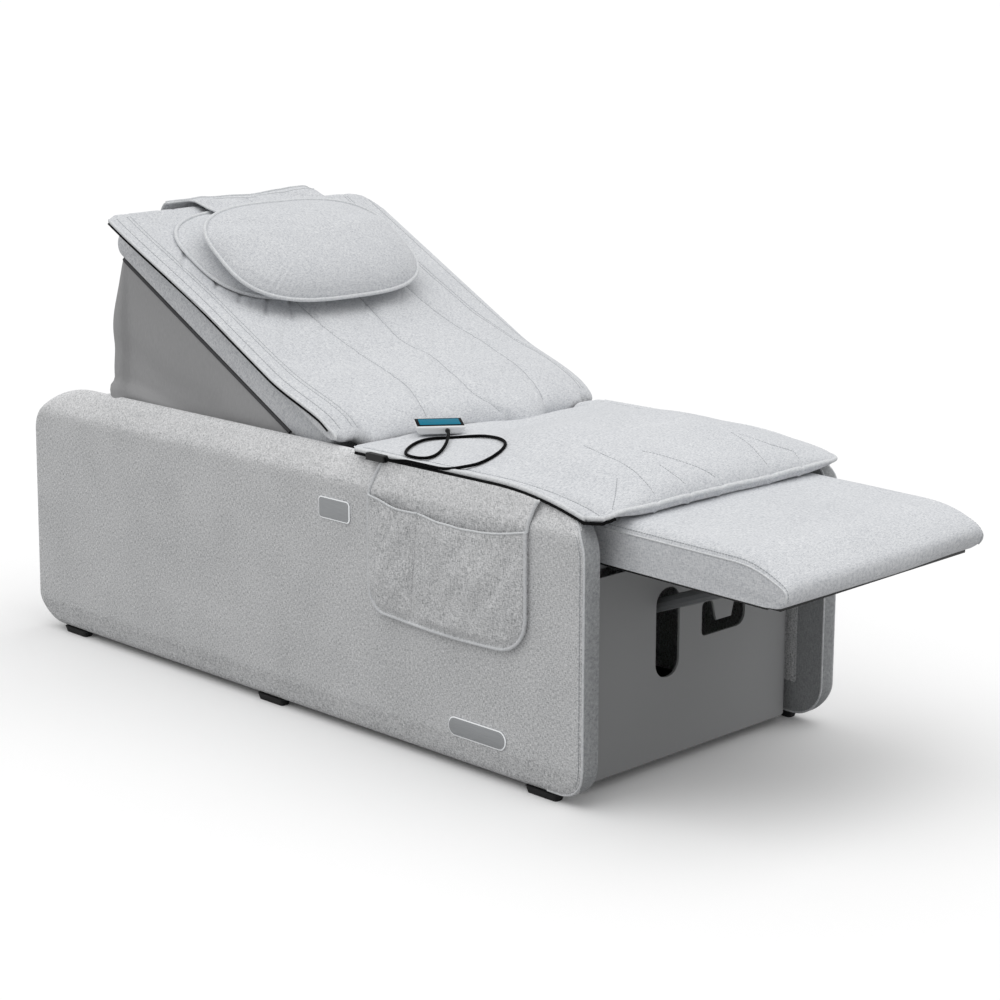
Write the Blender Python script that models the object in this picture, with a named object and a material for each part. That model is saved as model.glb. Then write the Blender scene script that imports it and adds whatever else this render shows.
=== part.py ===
"""Motor-driven massage bed with a raised backrest and an extended leg rest.

Metres, +Z up. +X runs to the foot end, -Y is the side with the pocket. The origin is on the floor under
the middle of the bed. Each sub-part is one closed body, and each moving one hangs on an empty that stands
on its joint's axis.
"""
import math

import bmesh
import bpy
from mathutils import Vector

for old_object in list(bpy.data.objects):
    bpy.data.objects.remove(old_object, do_unlink=True)

# Clearances
SEAT_GAP = 0.0003
RUNNING_GAP = 0.0003

# Overall sizes
OVERALL_WIDTH = 0.720
PANEL_LENGTH = 1.660
PANEL_TOP = 0.558
LEG_REACH = 0.368

# Side panels, with a padded outer face that stands out of a sloping margin
PANEL_THICK = 0.040
PANEL_TOP_RADIUS = 0.100
PANEL_BOTTOM_RADIUS = 0.070
PANEL_MARGIN = 0.056
PANEL_PILLOW = 0.012
LEDGE_WIDTH = 0.020
LEDGE_HEIGHT = 0.025

# Feet, three under each side panel
FOOT_HEIGHT = 0.014
FOOT_LENGTH = 0.080
FOOT_WIDTH = 0.028
FOOT_TAPER = 0.004
FOOT_REAR_INSET = 0.098
FOOT_MIDDLE_INSET = 0.780
FOOT_FRONT_INSET = 0.116

# Head panel and base board
HEAD_PANEL_TOP = 0.515
HEAD_PANEL_THICK = 0.025
HEAD_PANEL_INSET = 0.020
BOARD_LIFT = 0.006
BOARD_THICK = 0.012

# Foot panel, a moulded shell with rounded upright corners, a slot for the lift arm and a hand-hold
FOOT_PANEL_RECESS = 0.065
FOOT_PANEL_TOP = 0.398
FOOT_PANEL_WALL = 0.005
FOOT_PANEL_RADIUS = 0.040
FOOT_PANEL_RETURN = 0.012
FOOT_PANEL_SIDE_GAP = 0.010
SLOT_Y = -0.065
SLOT_WIDTH = 0.066
SLOT_BOTTOM = 0.175
SLOT_TOP = 0.346
HOLD_Y = 0.0945
HOLD_WIDTH = 0.127
HOLD_HEIGHT = 0.066
HOLD_BOTTOM = 0.232
HOLD_ARM = 0.030
HOLD_FLOOR = 0.024
HOLD_TAB_TAPER = 0.012

# Beams across the base
BEAM_SIZE = 0.040
FRONT_BEAM_DEPTH = 0.030
FRONT_BEAM_HEIGHT = 0.060
FRONT_BEAM_BEHIND_HINGE = 0.016

# Backrest. Its own frame has x along the bed (the head end at -x), z off the deck, and its hinge at 0
BACK_ANGLE = math.radians(28.7)
BACK_HINGE_FROM_FRONT = 0.749
BACK_HINGE_Z = 0.490
DECK_UNDER = 0.021
DECK_THICK = 0.052
DECK_LENGTH = 0.765
DECK_SIDE_GAP = 0.010
CHANNEL_HALF = 0.110
DECK_END_RAIL = 0.050
DECK_HEAD_RADIUS = 0.020

# Back hinge
HINGE_ROD_RADIUS = 0.008
HINGE_ROD_OVERHANG = 0.012
HINGE_EYE_RADIUS = 0.018
HINGE_PLATE = 0.008
HINGE_SIDE_INSET = 0.065
LUG_LENGTH = 0.060
LUG_STEEL_EDGE = 0.006

# Massage unit: angle rails, a channel-shaped carriage and two turned rollers
RAIL_WEB = 0.004
RAIL_FLANGE = 0.020
RAIL_LIFT = 0.002
RAIL_HEIGHT = 0.020
RAIL_STEEL = 0.003
CARRIAGE_LENGTH = 0.200
CARRIAGE_PLATE = 0.004
CARRIAGE_HEIGHT = 0.032
CARRIAGE_CENTRE = 0.360
ROLLER_SPACING = 0.110
ROLLER_AXLE_RADIUS = 0.005
ROLLER_RADIUS = 0.0195
ROLLER_END_RADIUS = 0.012
ROLLER_WIDTH = 0.050
ROLLER_Y = 0.045
ROLLER_TOP_GAP = 0.0025

# Back lift: a steel track under the deck and a cranked tube that pushes it with a roller
TRACK_THICK = 0.012
TRACK_WIDTH = 0.070
TRACK_Y = 0.030
BACK_PIVOT_BEHIND_HINGE = 0.347
BACK_PIVOT_Z = 0.260
BACK_CONTACT = 0.400
BACK_ARM_Y = -0.045
BACK_SHAFT_LENGTH = 0.120
LIFT_TUBE_RADIUS = 0.0135
LIFT_BEND_RADIUS = 0.034
LIFT_ROLLER_RADIUS = 0.018
LIFT_ROLLER_WIDTH = 0.050
LIFT_END_LENGTH = 0.100
POST_THICK = 0.010
POST_FOOT = 0.120
POST_HEAD_RADIUS = 0.030
POST_FROM_ARM = 0.075
MOTOR_WIDTH = 0.085
MOTOR_FOOT = 0.150
MOTOR_HEAD_RADIUS = 0.052
MOTOR_EDGE = 0.006

# Leg rest. Its own frame has x to the foot end, z off the board, and its hinge at 0
LEG_TILT = math.radians(1.2)
LEG_HINGE_BEHIND_FRONT = 0.070
LEG_HINGE_Z = 0.418
LEG_BOARD_LIFT = 0.0155
LEG_BOARD_THICK = 0.0047
LEG_NOSE_OVERHANG = 0.038
LEG_BOARD_INSET = 0.005
LEG_SIDE_INSET = 0.079
LEG_EDGE_HEIGHT = 0.060
LEG_CROWN = 0.018
LEG_NOSE_LENGTH = 0.130
LEG_ROD_RADIUS = 0.006
LEG_EYE_RADIUS = 0.013
LEG_PLATE = 0.008
LEG_HINGE_SIDE_INSET = 0.091
LEG_LUG_LENGTH = 0.048

# Leg lift arm
LEG_PIVOT_BEHIND_HINGE = 0.130
LEG_PIVOT_Z = 0.2652
LEG_CONTACT = 0.250
LEG_SHAFT_LENGTH = 0.120

# Seat
SEAT_LIFT = 0.003
SEAT_DECK_THICK = 0.018
SEAT_DECK_FROM_HINGE = 0.185
SEAT_DECK_SETBACK = 0.080
SEAT_LIP_SETBACK = 0.020
MAT_SIDE_INSET = 0.015
SEAT_MAT_FROM_HINGE = 0.125
SEAT_MAT_OVERHANG = 0.022
SEAT_MAT_EDGE = 0.006
SEAT_MAT_PAD = 0.014
SEAT_MAT_PAD_BAND = 0.120
SEAT_MAT_PAD_REAR = 0.050
SEAT_MAT_CROWN = 0.042
SEAT_MAT_CROWN_START = 0.080
SEAT_MAT_SHOULDER = 0.72
SEAT_MAT_RISE = 0.280
SEAT_MAT_SINK = 0.034
SEAT_MAT_SINK_LENGTH = 0.085
SEAT_MAT_SINK_INSET = 0.030
SEAT_MAT_SINK_START = 0.020
SEAT_MAT_SINK_EASE = 0.150
SEAT_MAT_FRONT_ROUND = 0.260
SEAT_LIP_DROP = 0.035
SEAT_LIP_THICK = 0.034
MAT_SEAM_DEPTH = 0.006
MAT_SEAM_WIDTH = 0.016
MAT_BORDER = 0.060
MAT_DRAWN_IN = 0.006
MAT_DRAWN_BAND = 0.018
CROWN_POWER = 2.6

# Back mat, pillows and the pillow flap, in the backrest's frame
BACK_MAT_FOOT_OVERHANG = 0.070
BACK_MAT_CORNER_OVERHANG = 0.036
BACK_MAT_LIFT = 0.028
BACK_MAT_LIFT_START = 0.012
BACK_MAT_FOOT_ROLL = 0.055
BACK_MAT_HEAD_OVERHANG = 0.012
BACK_MAT_SHIFT = 0.012
BACK_MAT_EDGE = 0.030
BACK_MAT_FOOT_EDGE = 0.050
BACK_MAT_EDGE_TAPER = 0.200
BACK_MAT_LUMBAR = 0.028
BACK_MAT_HEAD_CROWN = 0.004
BACK_MAT_TAPER_END = 0.340
PILLOW_SIDE_INSET = 0.097
LOWER_PILLOW_FROM_HEAD = 0.198
LOWER_PILLOW_HALF = 0.166
LOWER_PILLOW_SPREAD = 0.010
LOWER_PILLOW_UP = 0.030
LOWER_PILLOW_DOWN = 0.004
UPPER_PILLOW_FROM_HEAD = 0.265
UPPER_PILLOW_HALF = 0.164
UPPER_PILLOW_LEAN = math.radians(7.0)
UPPER_PILLOW_UP = 0.048
UPPER_PILLOW_DOWN = 0.016
PILLOW_SQUARENESS = 3.2
FLAP_SIDE_INSET = 0.035
FLAP_THICK = 0.006
FLAP_DROP = 0.070

# Gusset cloth between the raised backrest and the base
GUSSET_CLOTH = 0.0025
GUSSET_INSET = 0.008
GUSSET_TUCK = 0.075
GUSSET_FOOT_START = 0.100
GUSSET_CORNER = 0.016
GUSSET_SLACK = 0.068
GUSSET_WAVE = 0.004
GUSSET_WAVES = 9

# Pocket on the near panel
POCKET_CLOTH = 0.0026
POCKET_DEPTH = 0.018
POCKET_FROM_FRONT = 0.127
POCKET_WIDTH = 0.430
POCKET_DIVIDER = 0.134
POCKET_BOTTOM = 0.261
POCKET_MOUTH = 0.486
POCKET_CORNER = 0.030
POCKET_LEAN_REAR = 0.056
POCKET_LEAN_FRONT = 0.016
POCKET_TUCK = 0.022

# Plates on the near panel
PLATE_THICK = 0.002
SMALL_PLATE_FROM_FRONT = 0.652
SMALL_PLATE_Z = 0.4425
SMALL_PLATE_LENGTH = 0.090
SMALL_PLATE_HEIGHT = 0.043
SMALL_PLATE_RADIUS = 0.006
PILL_PLATE_FROM_FRONT = 0.263
PILL_PLATE_Z = 0.089
PILL_PLATE_LENGTH = 0.150
PILL_PLATE_HEIGHT = 0.037

# Hand control on the seat mat, with its cord
REMOTE_FROM_FRONT = 0.543
REMOTE_FROM_SIDE = 0.172
REMOTE_TURN = math.radians(52.0)
REMOTE_LENGTH = 0.098
REMOTE_WIDTH = 0.080
REMOTE_THICK = 0.017
REMOTE_EDGE = 0.005
SCREEN_LENGTH = 0.084
SCREEN_WIDTH = 0.062
SCREEN_THICK = 0.001
CORD_RADIUS = 0.003
GLAND_RADIUS = 0.0048
GLAND_LENGTH = 0.010
GLAND_ALONG_EDGE = 0.012
SOCKET_LENGTH = 0.050
SOCKET_DEPTH = 0.0130
SOCKET_HEIGHT = 0.014
SOCKET_FROM_FRONT = 0.535
SOCKET_Z = 0.554
# The cord as it lies, from the gland to the socket: metres behind the panels' front end, metres in from the
# near side, and metres that it rides above the mat or, outside the mat, above the panel's shoulder
CORD_ROUTE = (
    (0.4778, 0.1344, 0.0086),
    (0.4480, 0.1020, 0.0048),
    (0.4307, 0.0724, 0.0012),
    (0.4225, 0.0440, 0.0010),
    (0.4290, 0.0260, 0.0012),
    (0.4480, 0.0205, 0.0014),
    (0.4690, 0.0225, 0.0012),
    (0.4874, 0.0330, 0.0010),
    (0.5050, 0.0560, 0.0009),
    (0.5140, 0.0840, 0.0009),
    (0.5120, 0.1060, 0.0009),
    (0.4990, 0.1220, 0.0009),
    (0.4800, 0.1338, 0.0007),
    (0.4630, 0.1445, 0.0009),
    (0.4450, 0.1545, 0.0009),
    (0.4250, 0.1598, 0.0009),
    (0.3980, 0.1585, 0.0009),
    (0.3568, 0.1478, 0.0009),
    (0.3259, 0.1333, 0.0009),
    (0.3099, 0.1160, 0.0009),
    (0.3040, 0.0930, 0.0009),
    (0.3065, 0.0690, 0.0009),
    (0.3125, 0.0470, 0.0010),
    (0.3225, 0.0260, 0.0022),
    (0.3400, 0.0138, 0.0105),
    (0.3640, 0.0100, 0.0072),
    (0.3900, 0.0098, 0.0068),
    (0.4300, 0.0096, 0.0068),
    (0.4640, 0.0090, 0.0068),
)

# Sizes that follow
PANEL_FRONT = (PANEL_LENGTH - LEG_REACH) / 2
PANEL_REAR = PANEL_FRONT - PANEL_LENGTH
HALF_WIDTH = OVERALL_WIDTH / 2
INNER_HALF = HALF_WIDTH - PANEL_THICK
SPAN_HALF = INNER_HALF - SEAT_GAP
BOARD_BOTTOM = FOOT_HEIGHT + BOARD_LIFT
BOARD_TOP = BOARD_BOTTOM + BOARD_THICK
FOOT_PANEL_FRONT = PANEL_FRONT - FOOT_PANEL_RECESS
FOOT_PANEL_BACK = FOOT_PANEL_FRONT - FOOT_PANEL_RADIUS - FOOT_PANEL_RETURN
HEAD_PANEL_FRONT = PANEL_REAR + HEAD_PANEL_INSET + HEAD_PANEL_THICK
BACK_HINGE = Vector((PANEL_FRONT - BACK_HINGE_FROM_FRONT, 0, BACK_HINGE_Z))
LEG_HINGE = Vector((PANEL_FRONT - LEG_HINGE_BEHIND_FRONT, 0, LEG_HINGE_Z))
DECK_HALF = INNER_HALF - DECK_SIDE_GAP
DECK_TOP = DECK_UNDER + DECK_THICK
SEAT_MAT_BOTTOM = PANEL_TOP + SEAT_LIFT + SEAT_GAP
SEAT_DECK_TOP = PANEL_TOP + SEAT_LIFT
SEAT_MAT_REAR = BACK_HINGE.x + SEAT_MAT_FROM_HINGE
SEAT_MAT_FRONT = PANEL_FRONT + SEAT_MAT_OVERHANG
BACK_MAT_BOTTOM = DECK_TOP + SEAT_GAP
NEAR_FACE = -HALF_WIDTH
LEG_LENGTH = LEG_REACH + LEG_HINGE_BEHIND_FRONT
LEG_BOARD_LENGTH = LEG_LENGTH - LEG_NOSE_OVERHANG
LEG_HALF_WIDTH = HALF_WIDTH - LEG_SIDE_INSET
LEG_HINGE_Y = LEG_HALF_WIDTH - LEG_HINGE_SIDE_INSET
HINGE_Y = INNER_HALF - HINGE_SIDE_INSET
SEAT_MAT_HALF_WIDTH = HALF_WIDTH - MAT_SIDE_INSET
BACK_MAT_HALF_WIDTH = HALF_WIDTH - MAT_SIDE_INSET
PILLOW_HALF_WIDTH = BACK_MAT_HALF_WIDTH - PILLOW_SIDE_INSET
FLAP_HALF_WIDTH = PILLOW_HALF_WIDTH - FLAP_SIDE_INSET
LOWER_PILLOW_CENTRE = DECK_LENGTH - LOWER_PILLOW_FROM_HEAD
UPPER_PILLOW_CENTRE = DECK_LENGTH - UPPER_PILLOW_FROM_HEAD
REMOTE_Y = NEAR_FACE + REMOTE_FROM_SIDE


def principled(name, hex_colour, roughness, metallic=0.0):
    """One plain material, with its colour given as an sRGB hex value."""
    material = bpy.data.materials.new(name)
    material.use_nodes = True
    shader = material.node_tree.nodes["Principled BSDF"]
    channels = [int(hex_colour[i:i + 2], 16) / 255 for i in (1, 3, 5)]
    linear = [c / 12.92 if c <= 0.04045 else ((c + 0.055) / 1.055) ** 2.4 for c in channels]
    shader.inputs["Base Color"].default_value = (*linear, 1.0)
    shader.inputs["Roughness"].default_value = roughness
    shader.inputs["Metallic"].default_value = metallic
    return material


FABRIC = principled("grey_melange_fabric", "#C9CBCE", 0.95)
STRETCH = principled("grey_stretch_cloth", "#878787", 0.95)
MOULDING = principled("grey_moulded_plastic", "#8C8C8D", 0.55)
BLACK = principled("black_plastic", "#141414", 0.5)
RUBBER = principled("black_rubber", "#101010", 0.8)
STEEL = principled("painted_steel", "#6E7072", 0.45, 0.8)
BRIGHT = principled("brushed_steel", "#A5A6A8", 0.3, 1.0)
BOARD = principled("plywood", "#B89A6C", 0.7)
WHITE = principled("white_plastic", "#EEEEEE", 0.35)
SCREEN = principled("dark_screen", "#1795B4", 0.15)


def add_object(name, mesh, material, parent=None, location=(0, 0, 0), rotation=(0, 0, 0)):
    """Put a mesh into the scene as one named sub-part."""
    mesh.materials.append(material)
    new = bpy.data.objects.new(name, mesh)
    bpy.context.scene.collection.objects.link(new)
    new.parent = parent
    new.location = location
    new.rotation_euler = rotation
    return new


def finish_mesh(name, bm, smooth_angle=None):
    """Turn a bmesh into a mesh with its faces pointing out, smooth below an angle."""
    bmesh.ops.recalc_face_normals(bm, faces=bm.faces)
    mesh = bpy.data.meshes.new(name)
    bm.to_mesh(mesh)
    bm.free()
    if smooth_angle is not None:
        mesh.shade_smooth()
        mesh.set_sharp_from_angle(angle=math.radians(smooth_angle))
    return mesh


def axis_empty(name, location, parent=None, tilt=0.0):
    """An empty on a joint's axis, turned about Y."""
    empty = bpy.data.objects.new(name, None)
    bpy.context.scene.collection.objects.link(empty)
    empty.parent = parent
    empty.location = location
    empty.rotation_euler = (0, tilt, 0)
    return empty


def box(name, low, high, material, parent=None, edge=0.0):
    """A block between two corners, with its edges rounded by a bevel."""
    low, high = Vector(low), Vector(high)
    bm = bmesh.new()
    bmesh.ops.create_cube(bm, size=1.0)
    bmesh.ops.scale(bm, vec=high - low, verts=bm.verts)
    block = add_object(name, finish_mesh(name, bm), material, parent, (low + high) / 2)
    if edge:
        bevel = block.modifiers.new("rounded_edges", "BEVEL")
        bevel.width = edge
        bevel.segments = 2
        bevel.limit_method = "ANGLE"
    return block


def rounded_outline(corners, steps=6):
    """A closed outline from (a, b, radius) corners, each round one drawn as an arc."""
    outline = []
    for i, (a, b, radius) in enumerate(corners):
        here = Vector((a, b))
        to_last = (Vector(corners[i - 1][:2]) - here).normalized()
        to_next = (Vector(corners[(i + 1) % len(corners)][:2]) - here).normalized()
        if radius <= 0:
            outline.append(here)
            continue
        half = to_last.angle(to_next) / 2
        centre = here + (to_last + to_next).normalized() * (radius / math.sin(half))
        first = here + to_last * (radius / math.tan(half)) - centre
        turn = first.angle_signed(here + to_next * (radius / math.tan(half)) - centre)
        for k in range(steps + 1):
            angle = math.atan2(first.y, first.x) - turn * k / steps
            outline.append(centre + radius * Vector((math.cos(angle), math.sin(angle))))
    return outline


def to_space(a, b, along, axis):
    """A point from two outline coordinates and a third along the axis x, y or z."""
    return {"x": Vector((along, a, b)), "y": Vector((a, along, b)), "z": Vector((a, b, along))}[axis]


def prism_bmesh(outline, start, end, axis):
    """An outline extruded between two places on an axis."""
    bm = bmesh.new()
    face = bm.faces.new([bm.verts.new(to_space(p[0], p[1], start, axis)) for p in outline])
    grown = bmesh.ops.extrude_face_region(bm, geom=[face])
    moved = [item for item in grown["geom"] if isinstance(item, bmesh.types.BMVert)]
    bmesh.ops.translate(bm, vec=to_space(0, 0, end - start, axis), verts=moved)
    return bm


def prism(name, outline, start, end, axis, material, parent=None, smooth_angle=40):
    """A sub-part that is one extruded outline."""
    mesh = finish_mesh(name, prism_bmesh(outline, start, end, axis), smooth_angle)
    return add_object(name, mesh, material, parent)


def loft(name, rings, material, parent=None, smooth_angle=60):
    """A closed skin over rings of equal count, with its two ends capped."""
    bm = bmesh.new()
    loops = [[bm.verts.new(point) for point in ring] for ring in rings]
    count = len(loops[0])
    for low, high in zip(loops, loops[1:]):
        for i in range(count):
            j = (i + 1) % count
            bm.faces.new((low[i], low[j], high[j], high[i]))
    bm.faces.new(loops[0])
    bm.faces.new(loops[-1])
    return add_object(name, finish_mesh(name, bm, smooth_angle), material, parent)


def turned(name, profile, centre, material, parent=None, steps=16, bore=0.0):
    """A shape turned about Y from (y, radius) points, solid or with a bore."""
    bm = bmesh.new()
    inner = [(y, bore) for y, _ in (profile[-1], profile[0])]
    loop = [bm.verts.new((radius, y, 0)) for y, radius in [*profile, *inner]]
    edges = [bm.edges.new((a, b)) for a, b in zip(loop, loop[1:] + loop[:1])]
    if not bore:
        bm.edges.remove(edges.pop(-2))
    bmesh.ops.spin(bm, geom=loop + edges, cent=(0, 0, 0), axis=(0, 1, 0), angle=math.tau, steps=steps,
                   use_merge=True)
    bmesh.ops.remove_doubles(bm, verts=bm.verts, dist=0.00001)
    return add_object(name, finish_mesh(name, bm, 40), material, parent, centre)


def cutter_from(name, bm):
    """A wire-drawn body that only cuts or joins."""
    tool = add_object(name, finish_mesh(name, bm), STEEL)
    tool.hide_render = True
    tool.display_type = "WIRE"
    return tool


def combine(target, tool, operation="DIFFERENCE"):
    """Cut a tool out of a body, or join it on."""
    modifier = target.modifiers.new(tool.name, "BOOLEAN")
    modifier.operation = operation
    modifier.object = tool
    tool.parent = target.parent


def round_tube(name, points, radius, material, parent=None, resolution=3):
    """A tube along points, with closed ends."""
    curve = bpy.data.curves.new(name, "CURVE")
    curve.dimensions = "3D"
    curve.bevel_depth = radius
    curve.bevel_resolution = resolution
    curve.use_fill_caps = True
    curve.materials.append(material)
    spline = curve.splines.new("POLY")
    spline.points.add(len(points) - 1)
    for place, point in zip(spline.points, points):
        place.co = (*point, 1.0)
    spline.use_smooth = True
    new = bpy.data.objects.new(name, curve)
    bpy.context.scene.collection.objects.link(new)
    new.parent = parent
    return new


def bent_path(corners, radius, steps=6):
    """A path through corners, each inner corner bent to a radius."""
    path = [corners[0]]
    for last, here, after in zip(corners, corners[1:], corners[2:]):
        to_last, to_next = (last - here).normalized(), (after - here).normalized()
        half = to_last.angle(to_next) / 2
        centre = here + (to_last + to_next).normalized() * (radius / math.sin(half))
        start = (here + to_last * (radius / math.tan(half)) - centre).normalized()
        stop = (here + to_next * (radius / math.tan(half)) - centre).normalized()
        path += [centre + radius * start.slerp(stop, k / steps) for k in range(steps + 1)]
    return path + [corners[-1]]


def smoothstep(value):
    """0 below 0, 1 above 1, eased between."""
    value = min(max(value, 0.0), 1.0)
    return value * value * (3 - 2 * value)


def round_head(radius, corners, steps=20):
    """The tight outline round a circle at 0 and some corners, as a string pulled round them would lie."""
    points = [(radius * math.cos(math.tau * k / steps), radius * math.sin(math.tau * k / steps))
              for k in range(steps)]
    points = sorted([*points, *corners])

    def chain(ordered):
        kept = []
        for point in ordered:
            while len(kept) > 1 and ((kept[-1][0] - kept[-2][0]) * (point[1] - kept[-2][1])
                                     <= (kept[-1][1] - kept[-2][1]) * (point[0] - kept[-2][0])):
                kept.pop()
            kept.append(point)
        return kept[:-1]

    return chain(points) + chain(points[::-1])


def cylinder_along_y(radius, centre, length):
    """A cylinder's bmesh along Y, for boring holes."""
    bm = bmesh.new()
    bmesh.ops.create_cone(bm, cap_ends=True, segments=20, radius1=radius, radius2=radius, depth=length)
    bmesh.ops.rotate(bm, verts=bm.verts, matrix=Vector((0, 0, 1)).rotation_difference(
        Vector((0, 1, 0))).to_matrix())
    bmesh.ops.translate(bm, verts=bm.verts, vec=centre)
    return bm


def eye_plate(name, eye_radius, hole_radius, tail, start, end, material, parent, location=(0, 0, 0)):
    """A plate in XZ with a round eye at 0 and a straight tail to given corners, bored for a rod."""
    mesh = finish_mesh(name, prism_bmesh(round_head(eye_radius, tail), start, end, "y"), 40)
    plate = add_object(name, mesh, material, parent, location)
    tool = cutter_from(name + "_bore", cylinder_along_y(hole_radius, (0, (start + end) / 2, 0), 3 * (end - start)))
    combine(plate, tool)
    tool.location = location
    return plate


def side_panel(name, side):
    """A padded board: rounded outline, a pillowed outer face, and a ledge for the seat deck inside."""
    outline = rounded_outline([
        (PANEL_REAR, FOOT_HEIGHT, PANEL_BOTTOM_RADIUS),
        (PANEL_FRONT, FOOT_HEIGHT, PANEL_BOTTOM_RADIUS),
        (PANEL_FRONT, PANEL_TOP, PANEL_TOP_RADIUS),
        (PANEL_REAR, PANEL_TOP, PANEL_TOP_RADIUS),
    ], steps=7)
    rim = side * (HALF_WIDTH - PANEL_PILLOW)
    bm = prism_bmesh(outline, side * INNER_HALF, rim, "y")
    outer = [f for f in bm.faces if all(abs(v.co.y - rim) < SEAT_GAP / 10 for v in f.verts)]
    bmesh.ops.inset_region(bm, faces=outer, thickness=PANEL_MARGIN, depth=0.0, use_even_offset=True)
    raised = {v for f in outer for v in f.verts}
    for vert in raised:
        vert.co.y = side * HALF_WIDTH
    panel = add_object(name, finish_mesh(name, bm, 50), FABRIC)
    ledge_top = SEAT_DECK_TOP - SEAT_DECK_THICK - SEAT_GAP
    ledge = prism_bmesh([
        (BACK_HINGE.x + SEAT_DECK_FROM_HINGE, ledge_top - LEDGE_HEIGHT),
        (PANEL_FRONT - PANEL_TOP_RADIUS, ledge_top - LEDGE_HEIGHT),
        (PANEL_FRONT - PANEL_TOP_RADIUS, ledge_top),
        (BACK_HINGE.x + SEAT_DECK_FROM_HINGE, ledge_top),
    ], side * (INNER_HALF - LEDGE_WIDTH), side * (INNER_HALF + PANEL_THICK / 4), "y")
    combine(panel, cutter_from(name + "_ledge", ledge), "UNION")


def feet():
    """Six tapered pads under the side panels."""
    places = (PANEL_REAR + FOOT_REAR_INSET, PANEL_REAR + FOOT_MIDDLE_INSET, PANEL_FRONT - FOOT_FRONT_INSET)
    for row, x in zip(("rear", "middle", "front"), places):
        for side_name, side in (("near", -1), ("far", 1)):
            y = side * (HALF_WIDTH - PANEL_PILLOW - FOOT_WIDTH / 2)
            rings = []
            for z, shrink in ((0.0, FOOT_TAPER), (FOOT_HEIGHT - SEAT_GAP, 0.0)):
                half_x, half_y = FOOT_LENGTH / 2 - shrink, FOOT_WIDTH / 2 - shrink
                corner = half_y / 2
                outline = rounded_outline([(x - half_x, y - half_y, corner), (x + half_x, y - half_y, corner),
                                           (x + half_x, y + half_y, corner), (x - half_x, y + half_y, corner)],
                                          steps=3)
                rings.append([Vector((p.x, p.y, z)) for p in outline])
            loft(f"foot_{row}_{side_name}", rings, RUBBER)


def foot_panel():
    """A bowed shell between the side panels, cut for the lift arm and for a hand."""
    half = INNER_HALF - FOOT_PANEL_SIDE_GAP
    wall, radius = FOOT_PANEL_WALL, FOOT_PANEL_RADIUS
    outer = rounded_outline([(FOOT_PANEL_BACK, -half, 0), (FOOT_PANEL_FRONT, -half, radius),
                             (FOOT_PANEL_FRONT, half, radius), (FOOT_PANEL_BACK, half, 0)], steps=7)
    inner = rounded_outline([(FOOT_PANEL_BACK, -half + wall, 0),
                             (FOOT_PANEL_FRONT - wall, -half + wall, radius - wall),
                             (FOOT_PANEL_FRONT - wall, half - wall, radius - wall),
                             (FOOT_PANEL_BACK, half - wall, 0)], steps=7)
    panel = prism("foot_panel", outer + inner[::-1], BOARD_BOTTOM, FOOT_PANEL_TOP, "z", MOULDING)
    through = (FOOT_PANEL_FRONT - 3 * wall, FOOT_PANEL_FRONT + 3 * wall)
    slot_radius = SLOT_WIDTH / 2
    slot = rounded_outline([(SLOT_Y - slot_radius, SLOT_BOTTOM, slot_radius * 0.9),
                            (SLOT_Y + slot_radius, SLOT_BOTTOM, slot_radius * 0.9),
                            (SLOT_Y + slot_radius, SLOT_TOP, slot_radius * 0.9),
                            (SLOT_Y - slot_radius, SLOT_TOP, slot_radius * 0.9)])
    combine(panel, cutter_from("slot_cut", prism_bmesh(slot, *through, "x")))
    left, right = HOLD_Y - HOLD_WIDTH / 2, HOLD_Y + HOLD_WIDTH / 2
    top, floor = HOLD_BOTTOM + HOLD_HEIGHT, HOLD_BOTTOM + HOLD_FLOOR
    round_end = HOLD_ARM / 3
    hold = rounded_outline([
        (left, HOLD_BOTTOM, round_end), (right, HOLD_BOTTOM, HOLD_ARM * 0.8), (right, top, round_end),
        (right - HOLD_ARM, top, round_end), (right - HOLD_ARM - HOLD_TAB_TAPER, floor, 0),
        (left + HOLD_ARM + HOLD_TAB_TAPER, floor, 0), (left + HOLD_ARM, top, round_end),
        (left, top, round_end)], steps=4)
    combine(panel, cutter_from("hand_hold_cut", prism_bmesh(hold, *through, "x")))


def base_boards():
    """Head panel, base board, the two beams and the seat deck."""
    box("head_panel", (PANEL_REAR + HEAD_PANEL_INSET, -SPAN_HALF, BOARD_BOTTOM),
        (HEAD_PANEL_FRONT, SPAN_HALF, HEAD_PANEL_TOP), FABRIC, edge=0.008)
    box("base_board", (HEAD_PANEL_FRONT + SEAT_GAP, -SPAN_HALF, BOARD_BOTTOM),
        (FOOT_PANEL_BACK - SEAT_GAP, SPAN_HALF, BOARD_TOP), BOARD)
    beam_top = BACK_HINGE.z - HINGE_EYE_RADIUS - LUG_STEEL_EDGE
    box("hinge_beam", (BACK_HINGE.x - BEAM_SIZE / 2, -SPAN_HALF, beam_top - BEAM_SIZE),
        (BACK_HINGE.x + BEAM_SIZE / 2, SPAN_HALF, beam_top), STEEL, edge=0.004)
    front = LEG_HINGE.x - FRONT_BEAM_BEHIND_HINGE
    low = LEG_HINGE.z - LEG_EYE_RADIUS
    box("front_beam", (front - FRONT_BEAM_DEPTH, -SPAN_HALF, low),
        (front, SPAN_HALF, low + FRONT_BEAM_HEIGHT), STEEL, edge=0.003)
    box("seat_deck", (BACK_HINGE.x + SEAT_DECK_FROM_HINGE, -SPAN_HALF, SEAT_DECK_TOP - SEAT_DECK_THICK),
        (PANEL_FRONT - SEAT_DECK_SETBACK, SPAN_HALF, SEAT_DECK_TOP), BOARD)


def crown_across(y, half_width):
    """How much of a mat's crown stands at a distance from its middle."""
    return 1 - abs(y / half_width) ** CROWN_POWER


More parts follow.
